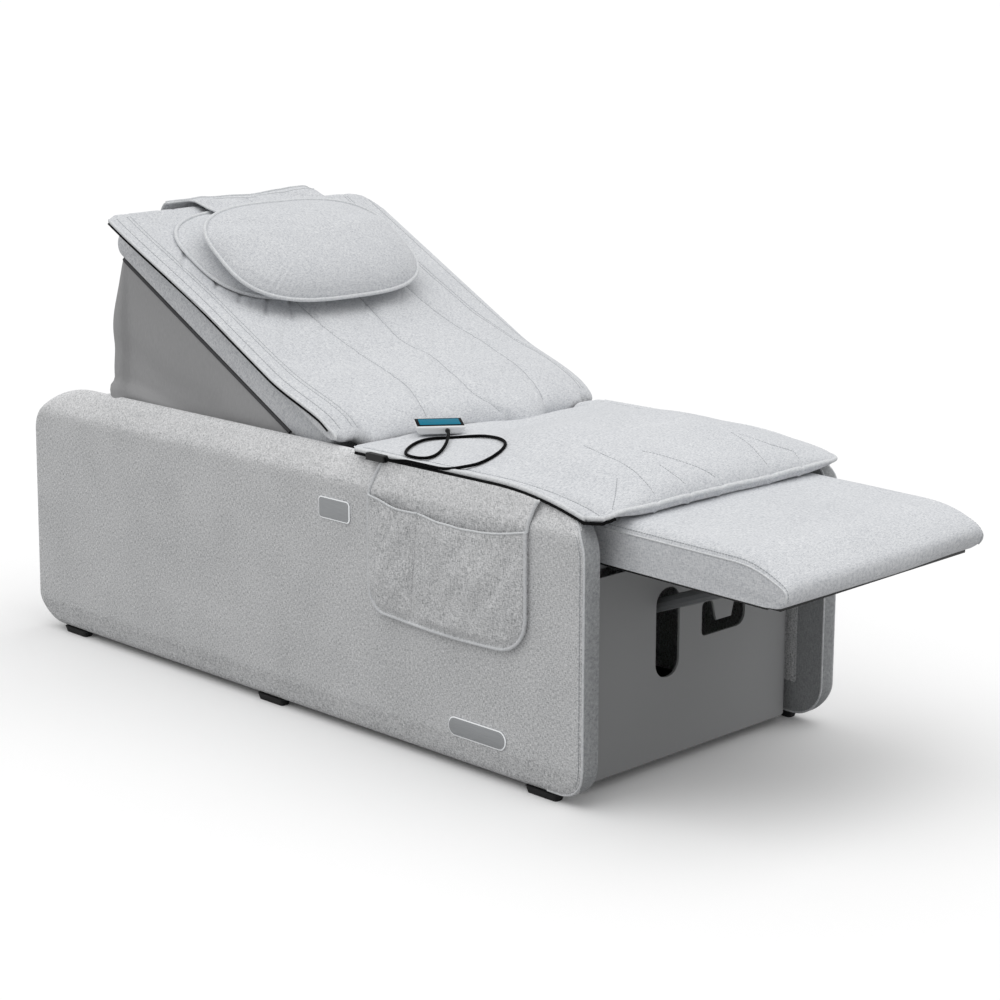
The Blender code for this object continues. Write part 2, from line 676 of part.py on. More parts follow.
def seam_dip(y, lines):
    """A sewn channel's depth near any of the given lines across a mat."""
    nearest = min(abs(abs(y) - line) for line in lines)
    return MAT_SEAM_DEPTH * max(0.0, 1 - nearest / MAT_SEAM_WIDTH)


def drawn_in_at(y, half_width):
    """How far a mat's edge is pulled in by its piping, near its two long sides."""
    return MAT_DRAWN_IN * (1 - smoothstep((half_width - abs(y)) / MAT_DRAWN_BAND))


def stations(half_width, lines):
    """Places across a mat: its edges, its channels and even steps between."""
    marks = {0.0, half_width, half_width - MAT_DRAWN_BAND / 4, half_width - MAT_DRAWN_BAND}
    for line in lines:
        marks |= {max(0.0, line - MAT_SEAM_WIDTH), line, line + MAT_SEAM_WIDTH}
    wide = sorted(marks)
    filled = []
    for low, high in zip(wide, wide[1:]):
        pieces = max(1, round((high - low) / 0.075))
        filled += [low + (high - low) * k / pieces for k in range(pieces)]
    filled.append(half_width)
    return [-y for y in reversed(filled) if y > 0] + filled


def seat_mat_sink(y):
    """How deep the seat mat's rear edge lies in the fold in front of the backrest, on the far half."""
    inside = INNER_HALF - SEAT_MAT_SINK_INSET - y
    opening = smoothstep((y + SEAT_MAT_SINK_START) / SEAT_MAT_SINK_EASE)
    return SEAT_MAT_SINK * opening * smoothstep(inside / (2 * SEAT_MAT_SINK_INSET))


def seat_mat_top(x, y):
    """Height of the seat mat's upper face, without its channels: an even pad, a crown, and the fold behind."""
    inset, along = SEAT_MAT_HALF_WIDTH - abs(y), x - SEAT_MAT_REAR
    pad = SEAT_MAT_PAD * smoothstep(inset / SEAT_MAT_PAD_BAND) * smoothstep(along / SEAT_MAT_PAD_REAR)
    rise = smoothstep((along - SEAT_MAT_CROWN_START) / SEAT_MAT_RISE)
    crown = SEAT_MAT_CROWN * rise * smoothstep(inset / SEAT_MAT_HALF_WIDTH / SEAT_MAT_SHOULDER)
    fold = seat_mat_sink(y) * (1 - smoothstep(along / SEAT_MAT_SINK_LENGTH))
    return SEAT_MAT_BOTTOM + SEAT_MAT_EDGE + pad + crown - fold


def seat_mat():
    """A crowned mat that sinks into the fold at its rear and falls over the seat deck like a waterfall in front."""
    lines = (SEAT_MAT_HALF_WIDTH - MAT_BORDER,)
    round_start = SEAT_MAT_FRONT - SEAT_MAT_FRONT_ROUND
    lip_mid = SEAT_MAT_BOTTOM - SEAT_LIP_DROP * 0.6
    lip_low = SEAT_MAT_BOTTOM - SEAT_LIP_DROP
    deck_rear = BACK_HINGE.x + SEAT_DECK_FROM_HINGE - SEAT_GAP
    rings = []
    for y in stations(SEAT_MAT_HALF_WIDTH, lines):
        drawn_in = drawn_in_at(y, SEAT_MAT_HALF_WIDTH)
        dip = (seam_dip(y, lines) + drawn_in) / 2
        rear, front = SEAT_MAT_REAR + drawn_in, SEAT_MAT_FRONT - drawn_in
        low = SEAT_MAT_BOTTOM - seat_mat_sink(y)
        inner = PANEL_FRONT - SEAT_LIP_SETBACK + SEAT_GAP + 0.002
        crest = seat_mat_top(round_start, y) - dip - lip_mid
        low_share = min(1.0, (SEAT_MAT_BOTTOM + SEAT_MAT_EDGE / 2 - lip_mid) / crest)
        shortest = (front - inner - SEAT_MAT_EDGE / 2) / (1 - math.sqrt(1 - low_share ** 2))
        round_length = min(front - round_start, shortest)
        flat_end = front - round_length
        ring = [(deck_rear - 0.006, low), (rear + 0.003, low), (rear, low + SEAT_MAT_EDGE / 2)]
        steps = 14
        for k in range(steps):
            x = rear + 0.004 + (flat_end - rear - 0.004) * k / (steps - 1)
            ring.append((x, seat_mat_top(x, y) - dip))
        for degrees in (75, 58, 42, 27, 12, 0):
            angle = math.radians(degrees)
            ring.append((flat_end + round_length * math.cos(angle), lip_mid + crest * math.sin(angle)))
        ring += [(front - 0.006, lip_low + drawn_in), (front - SEAT_LIP_THICK, lip_low + drawn_in),
                 (inner, SEAT_MAT_BOTTOM - 0.012), (inner, SEAT_MAT_BOTTOM), (deck_rear - 0.002, SEAT_MAT_BOTTOM)]
        rings.append([Vector((x, y, z)) for x, z in ring])
    loft("seat_mat", rings, FABRIC)


def pocket():
    """A sewn pouch with two compartments, hung from a sheet that tucks under the seat mat."""
    front = PANEL_FRONT - POCKET_FROM_FRONT
    rear = front - POCKET_WIDTH
    back = NEAR_FACE - SEAT_GAP
    face = back - POCKET_DEPTH
    outline = rounded_outline([(rear, POCKET_BOTTOM, POCKET_CORNER), (front, POCKET_BOTTOM, POCKET_CORNER),
                               (front, POCKET_MOUTH, 0), (rear, POCKET_MOUTH, 0)], steps=4)
    pouch = prism("pocket", outline, back, face, "y", FABRIC)
    divider = rear + POCKET_DIVIDER
    cloth = POCKET_CLOTH
    for name, low, high in (("rear", rear + cloth, divider - cloth / 2),
                            ("front", divider + cloth / 2, front - cloth)):
        room = rounded_outline([(low, POCKET_BOTTOM + 2 * cloth, POCKET_CORNER / 2),
                                (high, POCKET_BOTTOM + 2 * cloth, POCKET_CORNER / 2),
                                (high, POCKET_MOUTH + POCKET_DEPTH, 0),
                                (low, POCKET_MOUTH + POCKET_DEPTH, 0)], steps=4)
        combine(pouch, cutter_from(f"pocket_{name}_room",
                                   prism_bmesh(room, back - cloth, face + cloth, "y")))
    shoulder = PANEL_TOP - PANEL_MARGIN
    rim = NEAR_FACE + PANEL_PILLOW
    over = PANEL_TOP + SEAT_GAP
    slope = SEAT_GAP * 1.2
    profile = [(back, POCKET_MOUTH - 0.05), (back, shoulder), (rim - slope, over), (rim + POCKET_TUCK, over),
               (rim + POCKET_TUCK, over + cloth * 0.9), (rim - cloth, over + cloth * 0.9),
               (back - cloth, shoulder), (back - cloth, POCKET_MOUTH - 0.05)]
    sheet = bmesh.new()
    sides = []
    for start, lean in ((rear + cloth, POCKET_LEAN_REAR), (front - cloth, POCKET_LEAN_FRONT)):
        climb = [max(0.0, (z - POCKET_MOUTH) / (over - POCKET_MOUTH)) for _, z in profile]
        sides.append([sheet.verts.new((start + lean * min(up, 1.0), y, z))
                      for (y, z), up in zip(profile, climb)])
    for i in range(len(profile)):
        j = (i + 1) % len(profile)
        sheet.faces.new((sides[0][i], sides[0][j], sides[1][j], sides[1][i]))
    sheet.faces.new(sides[0])
    sheet.faces.new(sides[1])
    combine(pouch, cutter_from("pocket_sheet", sheet), "UNION")


def plates():
    """Two bare metal plates on the near panel."""
    for name, from_front, z, length, height, radius in (
            ("small_plate", SMALL_PLATE_FROM_FRONT, SMALL_PLATE_Z, SMALL_PLATE_LENGTH, SMALL_PLATE_HEIGHT,
             SMALL_PLATE_RADIUS),
            ("pill_plate", PILL_PLATE_FROM_FRONT, PILL_PLATE_Z, PILL_PLATE_LENGTH, PILL_PLATE_HEIGHT,
             PILL_PLATE_HEIGHT * 0.49)):
        x = PANEL_FRONT - from_front
        outline = rounded_outline([(x - length / 2, z - height / 2, radius),
                                   (x + length / 2, z - height / 2, radius),
                                   (x + length / 2, z + height / 2, radius),
                                   (x - length / 2, z + height / 2, radius)], steps=5)
        prism(name, outline, NEAR_FACE - SEAT_GAP, NEAR_FACE - SEAT_GAP - PLATE_THICK, "y", BRIGHT)


def smooth_curve(points, step):
    """Points at even steps along a smooth curve through the given ones."""
    padded = [2 * points[0] - points[1], *points, 2 * points[-1] - points[-2]]
    fine = []
    for a, b, c, d in zip(padded, padded[1:], padded[2:], padded[3:]):
        for k in range(24):
            t = k / 24
            fine.append(0.5 * (2 * b + (c - a) * t + (2 * a - 5 * b + 4 * c - d) * t ** 2
                               + (3 * b - a - 3 * c + d) * t ** 3))
    fine.append(points[-1])
    total = sum((b - a).length for a, b in zip(fine, fine[1:]))
    count = max(2, round(total / step))
    kept, walked, wanted = [fine[0]], 0.0, total / count
    for a, b in zip(fine, fine[1:]):
        walked += (b - a).length
        if walked >= wanted * len(kept) and len(kept) < count:
            kept.append(b)
    return [*kept, fine[-1]], total


def cord_height(x, y):
    """Height that the cord lies on: the seat mat's face, or the panel's shoulder outside it."""
    if abs(y) < SEAT_MAT_HALF_WIDTH:
        return seat_mat_top(x, y)
    return PANEL_TOP - SEAT_LIFT


def hand_control():
    """A hand control that lies on the seat mat, its screen, gland, cord and socket."""
    x, y = PANEL_FRONT - REMOTE_FROM_FRONT, REMOTE_Y
    small = 0.002
    slope_x = (seat_mat_top(x + small, y) - seat_mat_top(x - small, y)) / (2 * small)
    slope_y = (seat_mat_top(x, y + small) - seat_mat_top(x, y - small)) / (2 * small)
    up = Vector((-slope_x, -slope_y, 1)).normalized()
    seat = bpy.data.objects.new("hand_control_seat", None)
    bpy.context.scene.collection.objects.link(seat)
    seat.rotation_mode = "QUATERNION"
    lean = Vector((0, 0, 1)).rotation_difference(up)
    turn = Vector((1, 0, 0)).rotation_difference(Vector((math.cos(REMOTE_TURN), math.sin(REMOTE_TURN), 0)))
    frame = lean @ turn
    seat.rotation_quaternion = frame
    touch = Vector((x, y, seat_mat_top(x, y)))
    half_l, half_w = REMOTE_LENGTH / 2, REMOTE_WIDTH / 2
    under = [touch + frame @ Vector((half_l * i / 4, half_w * j / 4, 0)) for i in range(-4, 5) for j in range(-4, 5)]
    lift = max((seat_mat_top(p.x, p.y) - p.z) * up.z for p in under)
    seat.location = touch + up * (lift + 2 * SEAT_GAP)
    box("remote_body", (-half_l, -half_w, 0), (half_l, half_w, REMOTE_THICK), WHITE, seat, edge=REMOTE_EDGE)
    low = REMOTE_THICK + SEAT_GAP
    box("remote_screen", (-SCREEN_LENGTH / 2, -SCREEN_WIDTH / 2, low),
        (SCREEN_LENGTH / 2, SCREEN_WIDTH / 2, low + SCREEN_THICK), SCREEN, seat)
    gland_end = -half_w - SEAT_GAP - GLAND_LENGTH
    gland_x = GLAND_ALONG_EDGE
    turned("cord_gland", [(gland_end, GLAND_RADIUS * 0.8), (-half_w - SEAT_GAP, GLAND_RADIUS)],
           (gland_x, 0, REMOTE_THICK / 2), BLACK, seat, steps=12)
    gland_exit = seat.location + frame @ Vector((gland_x, gland_end - SEAT_GAP, REMOTE_THICK / 2))
    ahead = seat.location + frame @ Vector((gland_x, gland_end - 0.8 * GLAND_LENGTH, REMOTE_THICK / 2))
    route = [gland_exit, ahead]
    for from_front, from_side, ride in CORD_ROUTE:
        route_x, route_y = PANEL_FRONT - from_front, NEAR_FACE + from_side
        route.append(Vector((route_x, route_y, cord_height(route_x, route_y) + ride + CORD_RADIUS)))
    shoulder_y = NEAR_FACE + PANEL_PILLOW * (1 - (PANEL_TOP - SOCKET_Z) / PANEL_MARGIN)
    socket_y = shoulder_y - 1.5 * SEAT_GAP - SOCKET_DEPTH
    socket_front = PANEL_FRONT - SOCKET_FROM_FRONT + SOCKET_LENGTH / 2
    middle = Vector((socket_front, socket_y + SOCKET_DEPTH / 2, SOCKET_Z + SOCKET_HEIGHT / 2))
    route += [middle + Vector((2 * GLAND_LENGTH, 0, 0)), middle + Vector((SEAT_GAP, 0, 0))]
    points, length = smooth_curve(route, 5 * CORD_RADIUS)
    print("cord length", round(length, 3), "points", len(points))
    round_tube("remote_cord", points, CORD_RADIUS, RUBBER, resolution=2)
    box("cord_socket", (socket_front - SOCKET_LENGTH, socket_y, SOCKET_Z),
        (socket_front, socket_y + SOCKET_DEPTH, SOCKET_Z + SOCKET_HEIGHT), BLACK, edge=0.002)


def back_hinge(backrest):
    """Brackets on the hinge beam, a rod through them, and lugs under the backrest's side boards."""
    beam_top = BACK_HINGE.z - HINGE_EYE_RADIUS - LUG_STEEL_EDGE
    drop = beam_top - BACK_HINGE.z + SEAT_GAP
    reach = BEAM_SIZE / 2
    bore = HINGE_ROD_RADIUS + RUNNING_GAP
    lug_y = HINGE_Y + HINGE_PLATE + SEAT_GAP
    for side_name, side in (("near", -1), ("far", 1)):
        start, end = sorted((side * HINGE_Y, side * (HINGE_Y + HINGE_PLATE)))
        eye_plate(f"hinge_bracket_{side_name}", HINGE_EYE_RADIUS, bore, [(-reach, drop), (reach, drop)],
                  start, end, STEEL, None, BACK_HINGE)
        start, end = sorted((side * lug_y, side * (lug_y + HINGE_PLATE)))
        top = DECK_UNDER - SEAT_GAP
        eye_plate(f"hinge_lug_{side_name}", HINGE_EYE_RADIUS, bore, [(HINGE_EYE_RADIUS, top), (-LUG_LENGTH, top)],
                  start, end, STEEL, backrest)
    rod_half = lug_y + HINGE_PLATE + HINGE_ROD_OVERHANG
    turned("hinge_rod", [(-rod_half, HINGE_ROD_RADIUS), (rod_half, HINGE_ROD_RADIUS)], BACK_HINGE, BRIGHT)


def back_deck(backrest):
    """Padded side boards and the rails across their ends."""
    for side_name, side in (("near", -1), ("far", 1)):
        outline = rounded_outline([(0, DECK_UNDER, 0.006), (0, DECK_TOP, 0.006),
                                   (-DECK_LENGTH, DECK_TOP, DECK_HEAD_RADIUS),
                                   (-DECK_LENGTH, DECK_UNDER, DECK_HEAD_RADIUS)], steps=4)
        start, end = sorted((side * CHANNEL_HALF, side * DECK_HALF))
        board = prism(f"backrest_side_{side_name}", outline, start, end, "y", FABRIC, backrest)
        bevel = board.modifiers.new("padded_edges", "BEVEL")
        bevel.width = 0.008
        bevel.segments = 2
        bevel.limit_method = "ANGLE"
        bevel.angle_limit = math.radians(60)
    across = CHANNEL_HALF - SEAT_GAP
    box("backrest_foot_rail", (-DECK_END_RAIL, -across, DECK_UNDER), (0, across, DECK_TOP), BOARD, backrest,
        edge=0.003)
    box("backrest_head_rail", (-DECK_LENGTH, -across, DECK_UNDER),
        (-DECK_LENGTH + DECK_END_RAIL, across, DECK_TOP), BOARD, backrest, edge=0.003)
    box("lift_track", (-DECK_LENGTH + DECK_END_RAIL / 2, TRACK_Y - TRACK_WIDTH / 2,
                       DECK_UNDER - SEAT_GAP - TRACK_THICK),
        (-DECK_END_RAIL * 0.6, TRACK_Y + TRACK_WIDTH / 2, DECK_UNDER - SEAT_GAP), STEEL, backrest, edge=0.002)


def massage_unit(backrest):
    """Angle rails along the channel, the carriage that rides on them, and its two turned rollers."""
    ends = (-DECK_LENGTH + DECK_END_RAIL + SEAT_GAP, -DECK_END_RAIL - SEAT_GAP)
    low = DECK_UNDER + RAIL_LIFT
    wall = CHANNEL_HALF - SEAT_GAP
    for side_name, side in (("near", -1), ("far", 1)):
        profile = [(wall, low), (wall, low + RAIL_HEIGHT), (wall - RAIL_WEB, low + RAIL_HEIGHT),
                   (wall - RAIL_WEB, low + RAIL_STEEL), (wall - RAIL_WEB - RAIL_FLANGE, low + RAIL_STEEL),
                   (wall - RAIL_WEB - RAIL_FLANGE, low)]
        prism(f"guide_rail_{side_name}", [(side * y, z) for y, z in profile], *ends, "x", STEEL, backrest)
    carriage = axis_empty("carriage_origin", (-CARRIAGE_CENTRE, 0, 0), backrest)
    half = wall - RAIL_WEB - RUNNING_GAP
    floor = low + RAIL_STEEL + RUNNING_GAP
    plate = CARRIAGE_PLATE
    channel = [(-half, floor), (half, floor), (half, floor + CARRIAGE_HEIGHT),
               (half - plate, floor + CARRIAGE_HEIGHT), (half - plate, floor + plate),
               (-half + plate, floor + plate), (-half + plate, floor + CARRIAGE_HEIGHT),
               (-half, floor + CARRIAGE_HEIGHT)]
    body = prism("massage_carriage", channel, -CARRIAGE_LENGTH / 2, CARRIAGE_LENGTH / 2, "x", STEEL, carriage)
    axle_z = DECK_TOP - ROLLER_TOP_GAP - ROLLER_RADIUS
    shaft = half - SEAT_GAP
    barrel = [(-ROLLER_WIDTH / 2, ROLLER_END_RADIUS), (-ROLLER_WIDTH / 4, ROLLER_RADIUS * 0.94),
              (0, ROLLER_RADIUS), (ROLLER_WIDTH / 4, ROLLER_RADIUS * 0.94), (ROLLER_WIDTH / 2, ROLLER_END_RADIUS)]
    profile = [(-shaft, ROLLER_AXLE_RADIUS)]
    for centre in (-ROLLER_Y, ROLLER_Y):
        profile.append((centre - ROLLER_WIDTH / 2, ROLLER_AXLE_RADIUS))
        profile += [(centre + y, radius) for y, radius in barrel]
        profile.append((centre + ROLLER_WIDTH / 2, ROLLER_AXLE_RADIUS))
    profile.append((shaft, ROLLER_AXLE_RADIUS))
    for name, along in (("upper", -ROLLER_SPACING / 2), ("lower", ROLLER_SPACING / 2)):
        hole = cylinder_along_y(ROLLER_AXLE_RADIUS + RUNNING_GAP, (along, 0, axle_z), 3 * half)
        combine(body, cutter_from(f"axle_bore_{name}", hole))
        turned(f"massage_roller_{name}", profile, (along, 0, axle_z), BRIGHT, carriage, steps=14)


def cranked_arm(name, axis, arm_y, tip, shaft_length, shaft_side):
    """A tube bent twice: a shaft along Y at the axis, the arm, and an end along Y that carries a roller."""
    start = Vector((0, arm_y + shaft_side * shaft_length, 0))
    end = Vector((tip.x, arm_y - shaft_side * LIFT_END_LENGTH, tip.z))
    corners = [start, Vector((0, arm_y, 0)), Vector((tip.x, arm_y, tip.z)), end]
    round_tube(name, bent_path(corners, LIFT_BEND_RADIUS), LIFT_TUBE_RADIUS, STEEL, axis, resolution=3)
    middle = arm_y - shaft_side * (LIFT_END_LENGTH - LIFT_ROLLER_WIDTH / 2 - SEAT_GAP)
    turned(name + "_roller", [(-LIFT_ROLLER_WIDTH / 2, LIFT_ROLLER_RADIUS),
                              (LIFT_ROLLER_WIDTH / 2, LIFT_ROLLER_RADIUS)], (tip.x, middle, tip.z), RUBBER, axis,
           steps=20, bore=LIFT_TUBE_RADIUS + RUNNING_GAP)


def lift_drive(name, pivot, arm_y, shaft_length, shaft_side):
    """A bearing post round the arm's shaft and a gear motor at the shaft's end, both on the base board."""
    foot = BOARD_TOP + SEAT_GAP - pivot.z
    near, far = sorted((arm_y + shaft_side * POST_FROM_ARM, arm_y + shaft_side * (POST_FROM_ARM + POST_THICK)))
    eye_plate(name + "_post", POST_HEAD_RADIUS, LIFT_TUBE_RADIUS + RUNNING_GAP,
              [(-POST_FOOT / 2, foot), (POST_FOOT / 2, foot)], near, far, STEEL, None, pivot)
    face = arm_y + shaft_side * (shaft_length + SEAT_GAP)
    near, far = sorted((face, face + shaft_side * MOTOR_WIDTH))
    outline = round_head(MOTOR_HEAD_RADIUS, [(-MOTOR_FOOT / 2, foot), (MOTOR_FOOT / 2, foot)], steps=24)
    mesh = finish_mesh(name, prism_bmesh(outline, near, far, "y"), 40)
    motor = add_object(name + "_motor", mesh, BLACK, None, pivot)
    bevel = motor.modifiers.new("moulded_edges", "BEVEL")
    bevel.width = MOTOR_EDGE
    bevel.segments = 2
    bevel.limit_method = "ANGLE"
    bevel.angle_limit = math.radians(50)


def back_lift():
    """The cranked arm under the backrest, with its roller just below the track."""
    pivot = Vector((BACK_HINGE.x - BACK_PIVOT_BEHIND_HINGE, 0, BACK_PIVOT_Z))
    contact = DECK_UNDER - 2 * SEAT_GAP - TRACK_THICK - LIFT_ROLLER_RADIUS
    tip = BACK_HINGE - pivot
    tip.x += -BACK_CONTACT * math.cos(BACK_ANGLE) + contact * math.sin(BACK_ANGLE)
    tip.z += BACK_CONTACT * math.sin(BACK_ANGLE) + contact * math.cos(BACK_ANGLE)
    cranked_arm("back_lift_arm", axis_empty("back_arm_axis", pivot), BACK_ARM_Y, tip, BACK_SHAFT_LENGTH, -1)
    lift_drive("back_lift", pivot, BACK_ARM_Y, BACK_SHAFT_LENGTH, -1)
    print("back arm pivot", [round(v, 5) for v in pivot], "tip", [round(v, 5) for v in pivot + tip])


def leg_lift():
    """The cranked arm through the foot panel's slot, with its roller just below the leg board."""
    pivot = Vector((LEG_HINGE.x - LEG_PIVOT_BEHIND_HINGE, 0, LEG_PIVOT_Z))
    contact = LEG_BOARD_LIFT - SEAT_GAP - LIFT_ROLLER_RADIUS
    tip = LEG_HINGE - pivot
    tip.x += LEG_CONTACT * math.cos(LEG_TILT) + contact * math.sin(LEG_TILT)
    tip.z += -LEG_CONTACT * math.sin(LEG_TILT) + contact * math.cos(LEG_TILT)
    cranked_arm("leg_lift_arm", axis_empty("leg_arm_axis", pivot), SLOT_Y, tip, LEG_SHAFT_LENGTH, -1)
    lift_drive("leg_lift", pivot, SLOT_Y, LEG_SHAFT_LENGTH, -1)
    print("leg arm pivot", [round(v, 5) for v in pivot], "tip", [round(v, 5) for v in pivot + tip])


def leg_rest(leg):
    """A tapered pad with a crown and a rounded nose, its board, and the hinge."""
    pad_low = LEG_BOARD_LIFT + LEG_BOARD_THICK + SEAT_GAP
    half = LEG_HALF_WIDTH
    rings = []
    for y in stations(half, (half - MAT_BORDER,)):
        drawn_in = drawn_in_at(y, half)
        top = pad_low + LEG_EDGE_HEIGHT + LEG_CROWN * max(0.0, crown_across(y, half)) - drawn_in
        nose = LEG_LENGTH - drawn_in
        nose_start = LEG_LENGTH - LEG_NOSE_LENGTH
        nose_mid = pad_low + 0.012
        ring = [(drawn_in, pad_low), (drawn_in, (pad_low + top) / 2), (0.012, top)]
        ring += [(nose_start * k / 4, top) for k in range(1, 5)]
        for degrees in (68, 48, 30, 14, 0):
            angle = math.radians(degrees)
            ring.append((nose_start + (nose - nose_start) * math.cos(angle),
                         nose_mid + (top - nose_mid) * math.sin(angle)))
        ring += [(nose - 0.006, pad_low - 0.005), (nose - 0.022, pad_low - 0.008),
                 (LEG_BOARD_LENGTH + 0.004, pad_low - 0.002), (LEG_BOARD_LENGTH + 0.002, pad_low)]
        rings.append([Vector((x, y, z)) for x, z in ring])
    loft("leg_pad", rings, FABRIC, leg)
    wide = half - LEG_BOARD_INSET
    box("leg_board", (0, -wide, LEG_BOARD_LIFT), (LEG_BOARD_LENGTH, wide, LEG_BOARD_LIFT + LEG_BOARD_THICK),
        BLACK, leg)
    bore = LEG_ROD_RADIUS + RUNNING_GAP
    lug_y = LEG_HINGE_Y + LEG_PLATE + SEAT_GAP
    back = -FRONT_BEAM_BEHIND_HINGE + SEAT_GAP
    for side_name, side in (("near", -1), ("far", 1)):
        start, end = sorted((side * LEG_HINGE_Y, side * (LEG_HINGE_Y + LEG_PLATE)))
        eye_plate(f"leg_bracket_{side_name}", LEG_EYE_RADIUS, bore, [(back, LEG_EYE_RADIUS), (back, -LEG_EYE_RADIUS)],
                  start, end, STEEL, None, LEG_HINGE)
        start, end = sorted((side * lug_y, side * (lug_y + LEG_PLATE)))
        top = LEG_BOARD_LIFT - SEAT_GAP
        eye_plate(f"leg_lug_{side_name}", LEG_EYE_RADIUS, bore, [(LEG_LUG_LENGTH, top), (0.0, top)], start, end,
                  STEEL, leg)
    rod_half = lug_y + LEG_PLATE + HINGE_ROD_OVERHANG
    turned("leg_hinge_rod", [(-rod_half, LEG_ROD_RADIUS), (rod_half, LEG_ROD_RADIUS)], LEG_HINGE, BRIGHT)


def back_mat_top(along, y):
    """Height of the back mat's upper face off the deck: a lumbar swell that thins to the head."""
    swell = BACK_MAT_LUMBAR + (BACK_MAT_HEAD_CROWN - BACK_MAT_LUMBAR) * smoothstep(along / BACK_MAT_TAPER_END)
    edge = BACK_MAT_FOOT_EDGE + (BACK_MAT_EDGE - BACK_MAT_FOOT_EDGE) * smoothstep(along / BACK_MAT_EDGE_TAPER)
    return BACK_MAT_BOTTOM + edge + swell * max(0.0, crown_across(y, BACK_MAT_HALF_WIDTH))


def back_mat(backrest):
    """A quilted mat with sewn channels along it, whose foot end rolls over the hinge and clears the panels."""
    half = BACK_MAT_HALF_WIDTH
    lines = (0.0, half - 3.2 * MAT_BORDER, half - MAT_BORDER)
    head = DECK_LENGTH + BACK_MAT_HEAD_OVERHANG
    roll_from = BACK_MAT_BOTTOM + BACK_MAT_LIFT + BACK_MAT_EDGE / 4
    rings = []
    for y in stations(half, lines):
        drawn_in = drawn_in_at(y, half)
        dip = seam_dip(y, lines) + drawn_in
        corner = smoothstep((1.1 * MAT_BORDER - half + abs(y)) / (MAT_BORDER / 2))
        overhang = BACK_MAT_FOOT_OVERHANG + (BACK_MAT_CORNER_OVERHANG - BACK_MAT_FOOT_OVERHANG) * corner
        foot = 2 * dip - overhang
        ring = [(BACK_MAT_LIFT_START, BACK_MAT_BOTTOM), (foot + 0.004, BACK_MAT_BOTTOM + BACK_MAT_LIFT),
                (foot, roll_from)]
        roll = back_mat_top(0, y) - dip - roll_from
        for degrees in (30, 60, 85):
            angle = math.radians(degrees)
            ring.append((foot + BACK_MAT_FOOT_ROLL * (1 - math.cos(angle)), roll_from + roll * math.sin(angle)))
        steps = 8
        start = foot + BACK_MAT_FOOT_ROLL
        for k in range(1, steps + 1):
            along = start + (head - start - 0.010) * k / steps
            ring.append((along, back_mat_top(along, y) - dip))
        ring += [(head - drawn_in, BACK_MAT_BOTTOM + BACK_MAT_EDGE * 0.5), (head - drawn_in - 0.004, BACK_MAT_BOTTOM)]
        rings.append([Vector((-along, y + BACK_MAT_SHIFT, z)) for along, z in ring])
    loft("back_mat", rings, FABRIC, backrest)


def pillow_swell(share, height, power):
    """How far a pillow's face stands off its rim at a share of the way from its middle to the rim."""
    return height * max(0.0, 1 - share ** 3) ** power


def pillow(name, centre, half_length, half_width, rim, up, down, lean, backrest):
    """A sewn pillow: a squarish rim, leaning along the backrest, with a crown above and a shallower one below."""
    turns = 28
    power = 2 / PILLOW_SQUARENESS

    def ring(share, height):
        points = []
        for k in range(turns):
            angle = math.tau * k / turns
            c, s = math.cos(angle), math.sin(angle)
            across = math.copysign(abs(s) ** power, s) * half_width * share
            along = math.copysign(abs(c) ** power, c) * half_length * share
            points.append(Vector((-centre - along, across, rim + height + along * math.tan(lean))))
        return points

    shares = (0.12, 0.42, 0.68, 0.86, 0.96)
    rings = [ring(share, -pillow_swell(share, down, 1.0)) for share in shares]
    rings.append(ring(1.0, 0.0))
    rings += [ring(share, pillow_swell(share, up, 0.75)) for share in reversed(shares)]
    loft(name, rings, FABRIC, backrest)


def head_end(backrest):
    """Two pillows on the back mat and the flap that hangs the upper one over the head end."""
    mat_top = max(back_mat_top(LOWER_PILLOW_CENTRE - LOWER_PILLOW_HALF, 0.0), back_mat_top(DECK_LENGTH, 0.0))
    lower_rim = mat_top + LOWER_PILLOW_DOWN + SEAT_GAP
    pillow("lower_pillow", LOWER_PILLOW_CENTRE, LOWER_PILLOW_HALF, PILLOW_HALF_WIDTH + LOWER_PILLOW_SPREAD,
           lower_rim, LOWER_PILLOW_UP, LOWER_PILLOW_DOWN, 0.0, backrest)
    upper_rim = 0.0
    for k in range(-20, 21):
        along = UPPER_PILLOW_HALF * k / 20
        lower_share = abs(UPPER_PILLOW_CENTRE + along - LOWER_PILLOW_CENTRE) / LOWER_PILLOW_HALF
        floor = lower_rim + pillow_swell(lower_share, LOWER_PILLOW_UP, 0.75)
        under = along * math.tan(UPPER_PILLOW_LEAN) - pillow_swell(abs(k) / 20, UPPER_PILLOW_DOWN, 1.0)
        upper_rim = max(upper_rim, floor - under + SEAT_GAP)
    pillow("upper_pillow", UPPER_PILLOW_CENTRE, UPPER_PILLOW_HALF, PILLOW_HALF_WIDTH, upper_rim, UPPER_PILLOW_UP,
           UPPER_PILLOW_DOWN, UPPER_PILLOW_LEAN, backrest)
    head = DECK_LENGTH + BACK_MAT_HEAD_OVERHANG + SEAT_GAP
    top = back_mat_top(DECK_LENGTH, 0.0) + SEAT_GAP
    start = LOWER_PILLOW_CENTRE + LOWER_PILLOW_HALF + FLAP_THICK
    t = FLAP_THICK
    profile = [(start, top), (head - 0.009, top), (head - 0.001, top - 0.010), (head, top - 0.018),
               (head, top - FLAP_DROP), (head + t, top - FLAP_DROP), (head + t, top - 0.014),
               (head + t - 0.003, top - 0.002), (head - 0.006, top + t), (start, top + t)]
    prism("pillow_flap", [(-along, z) for along, z in profile], -FLAP_HALF_WIDTH, FLAP_HALF_WIDTH, "y", FABRIC,
          backrest)


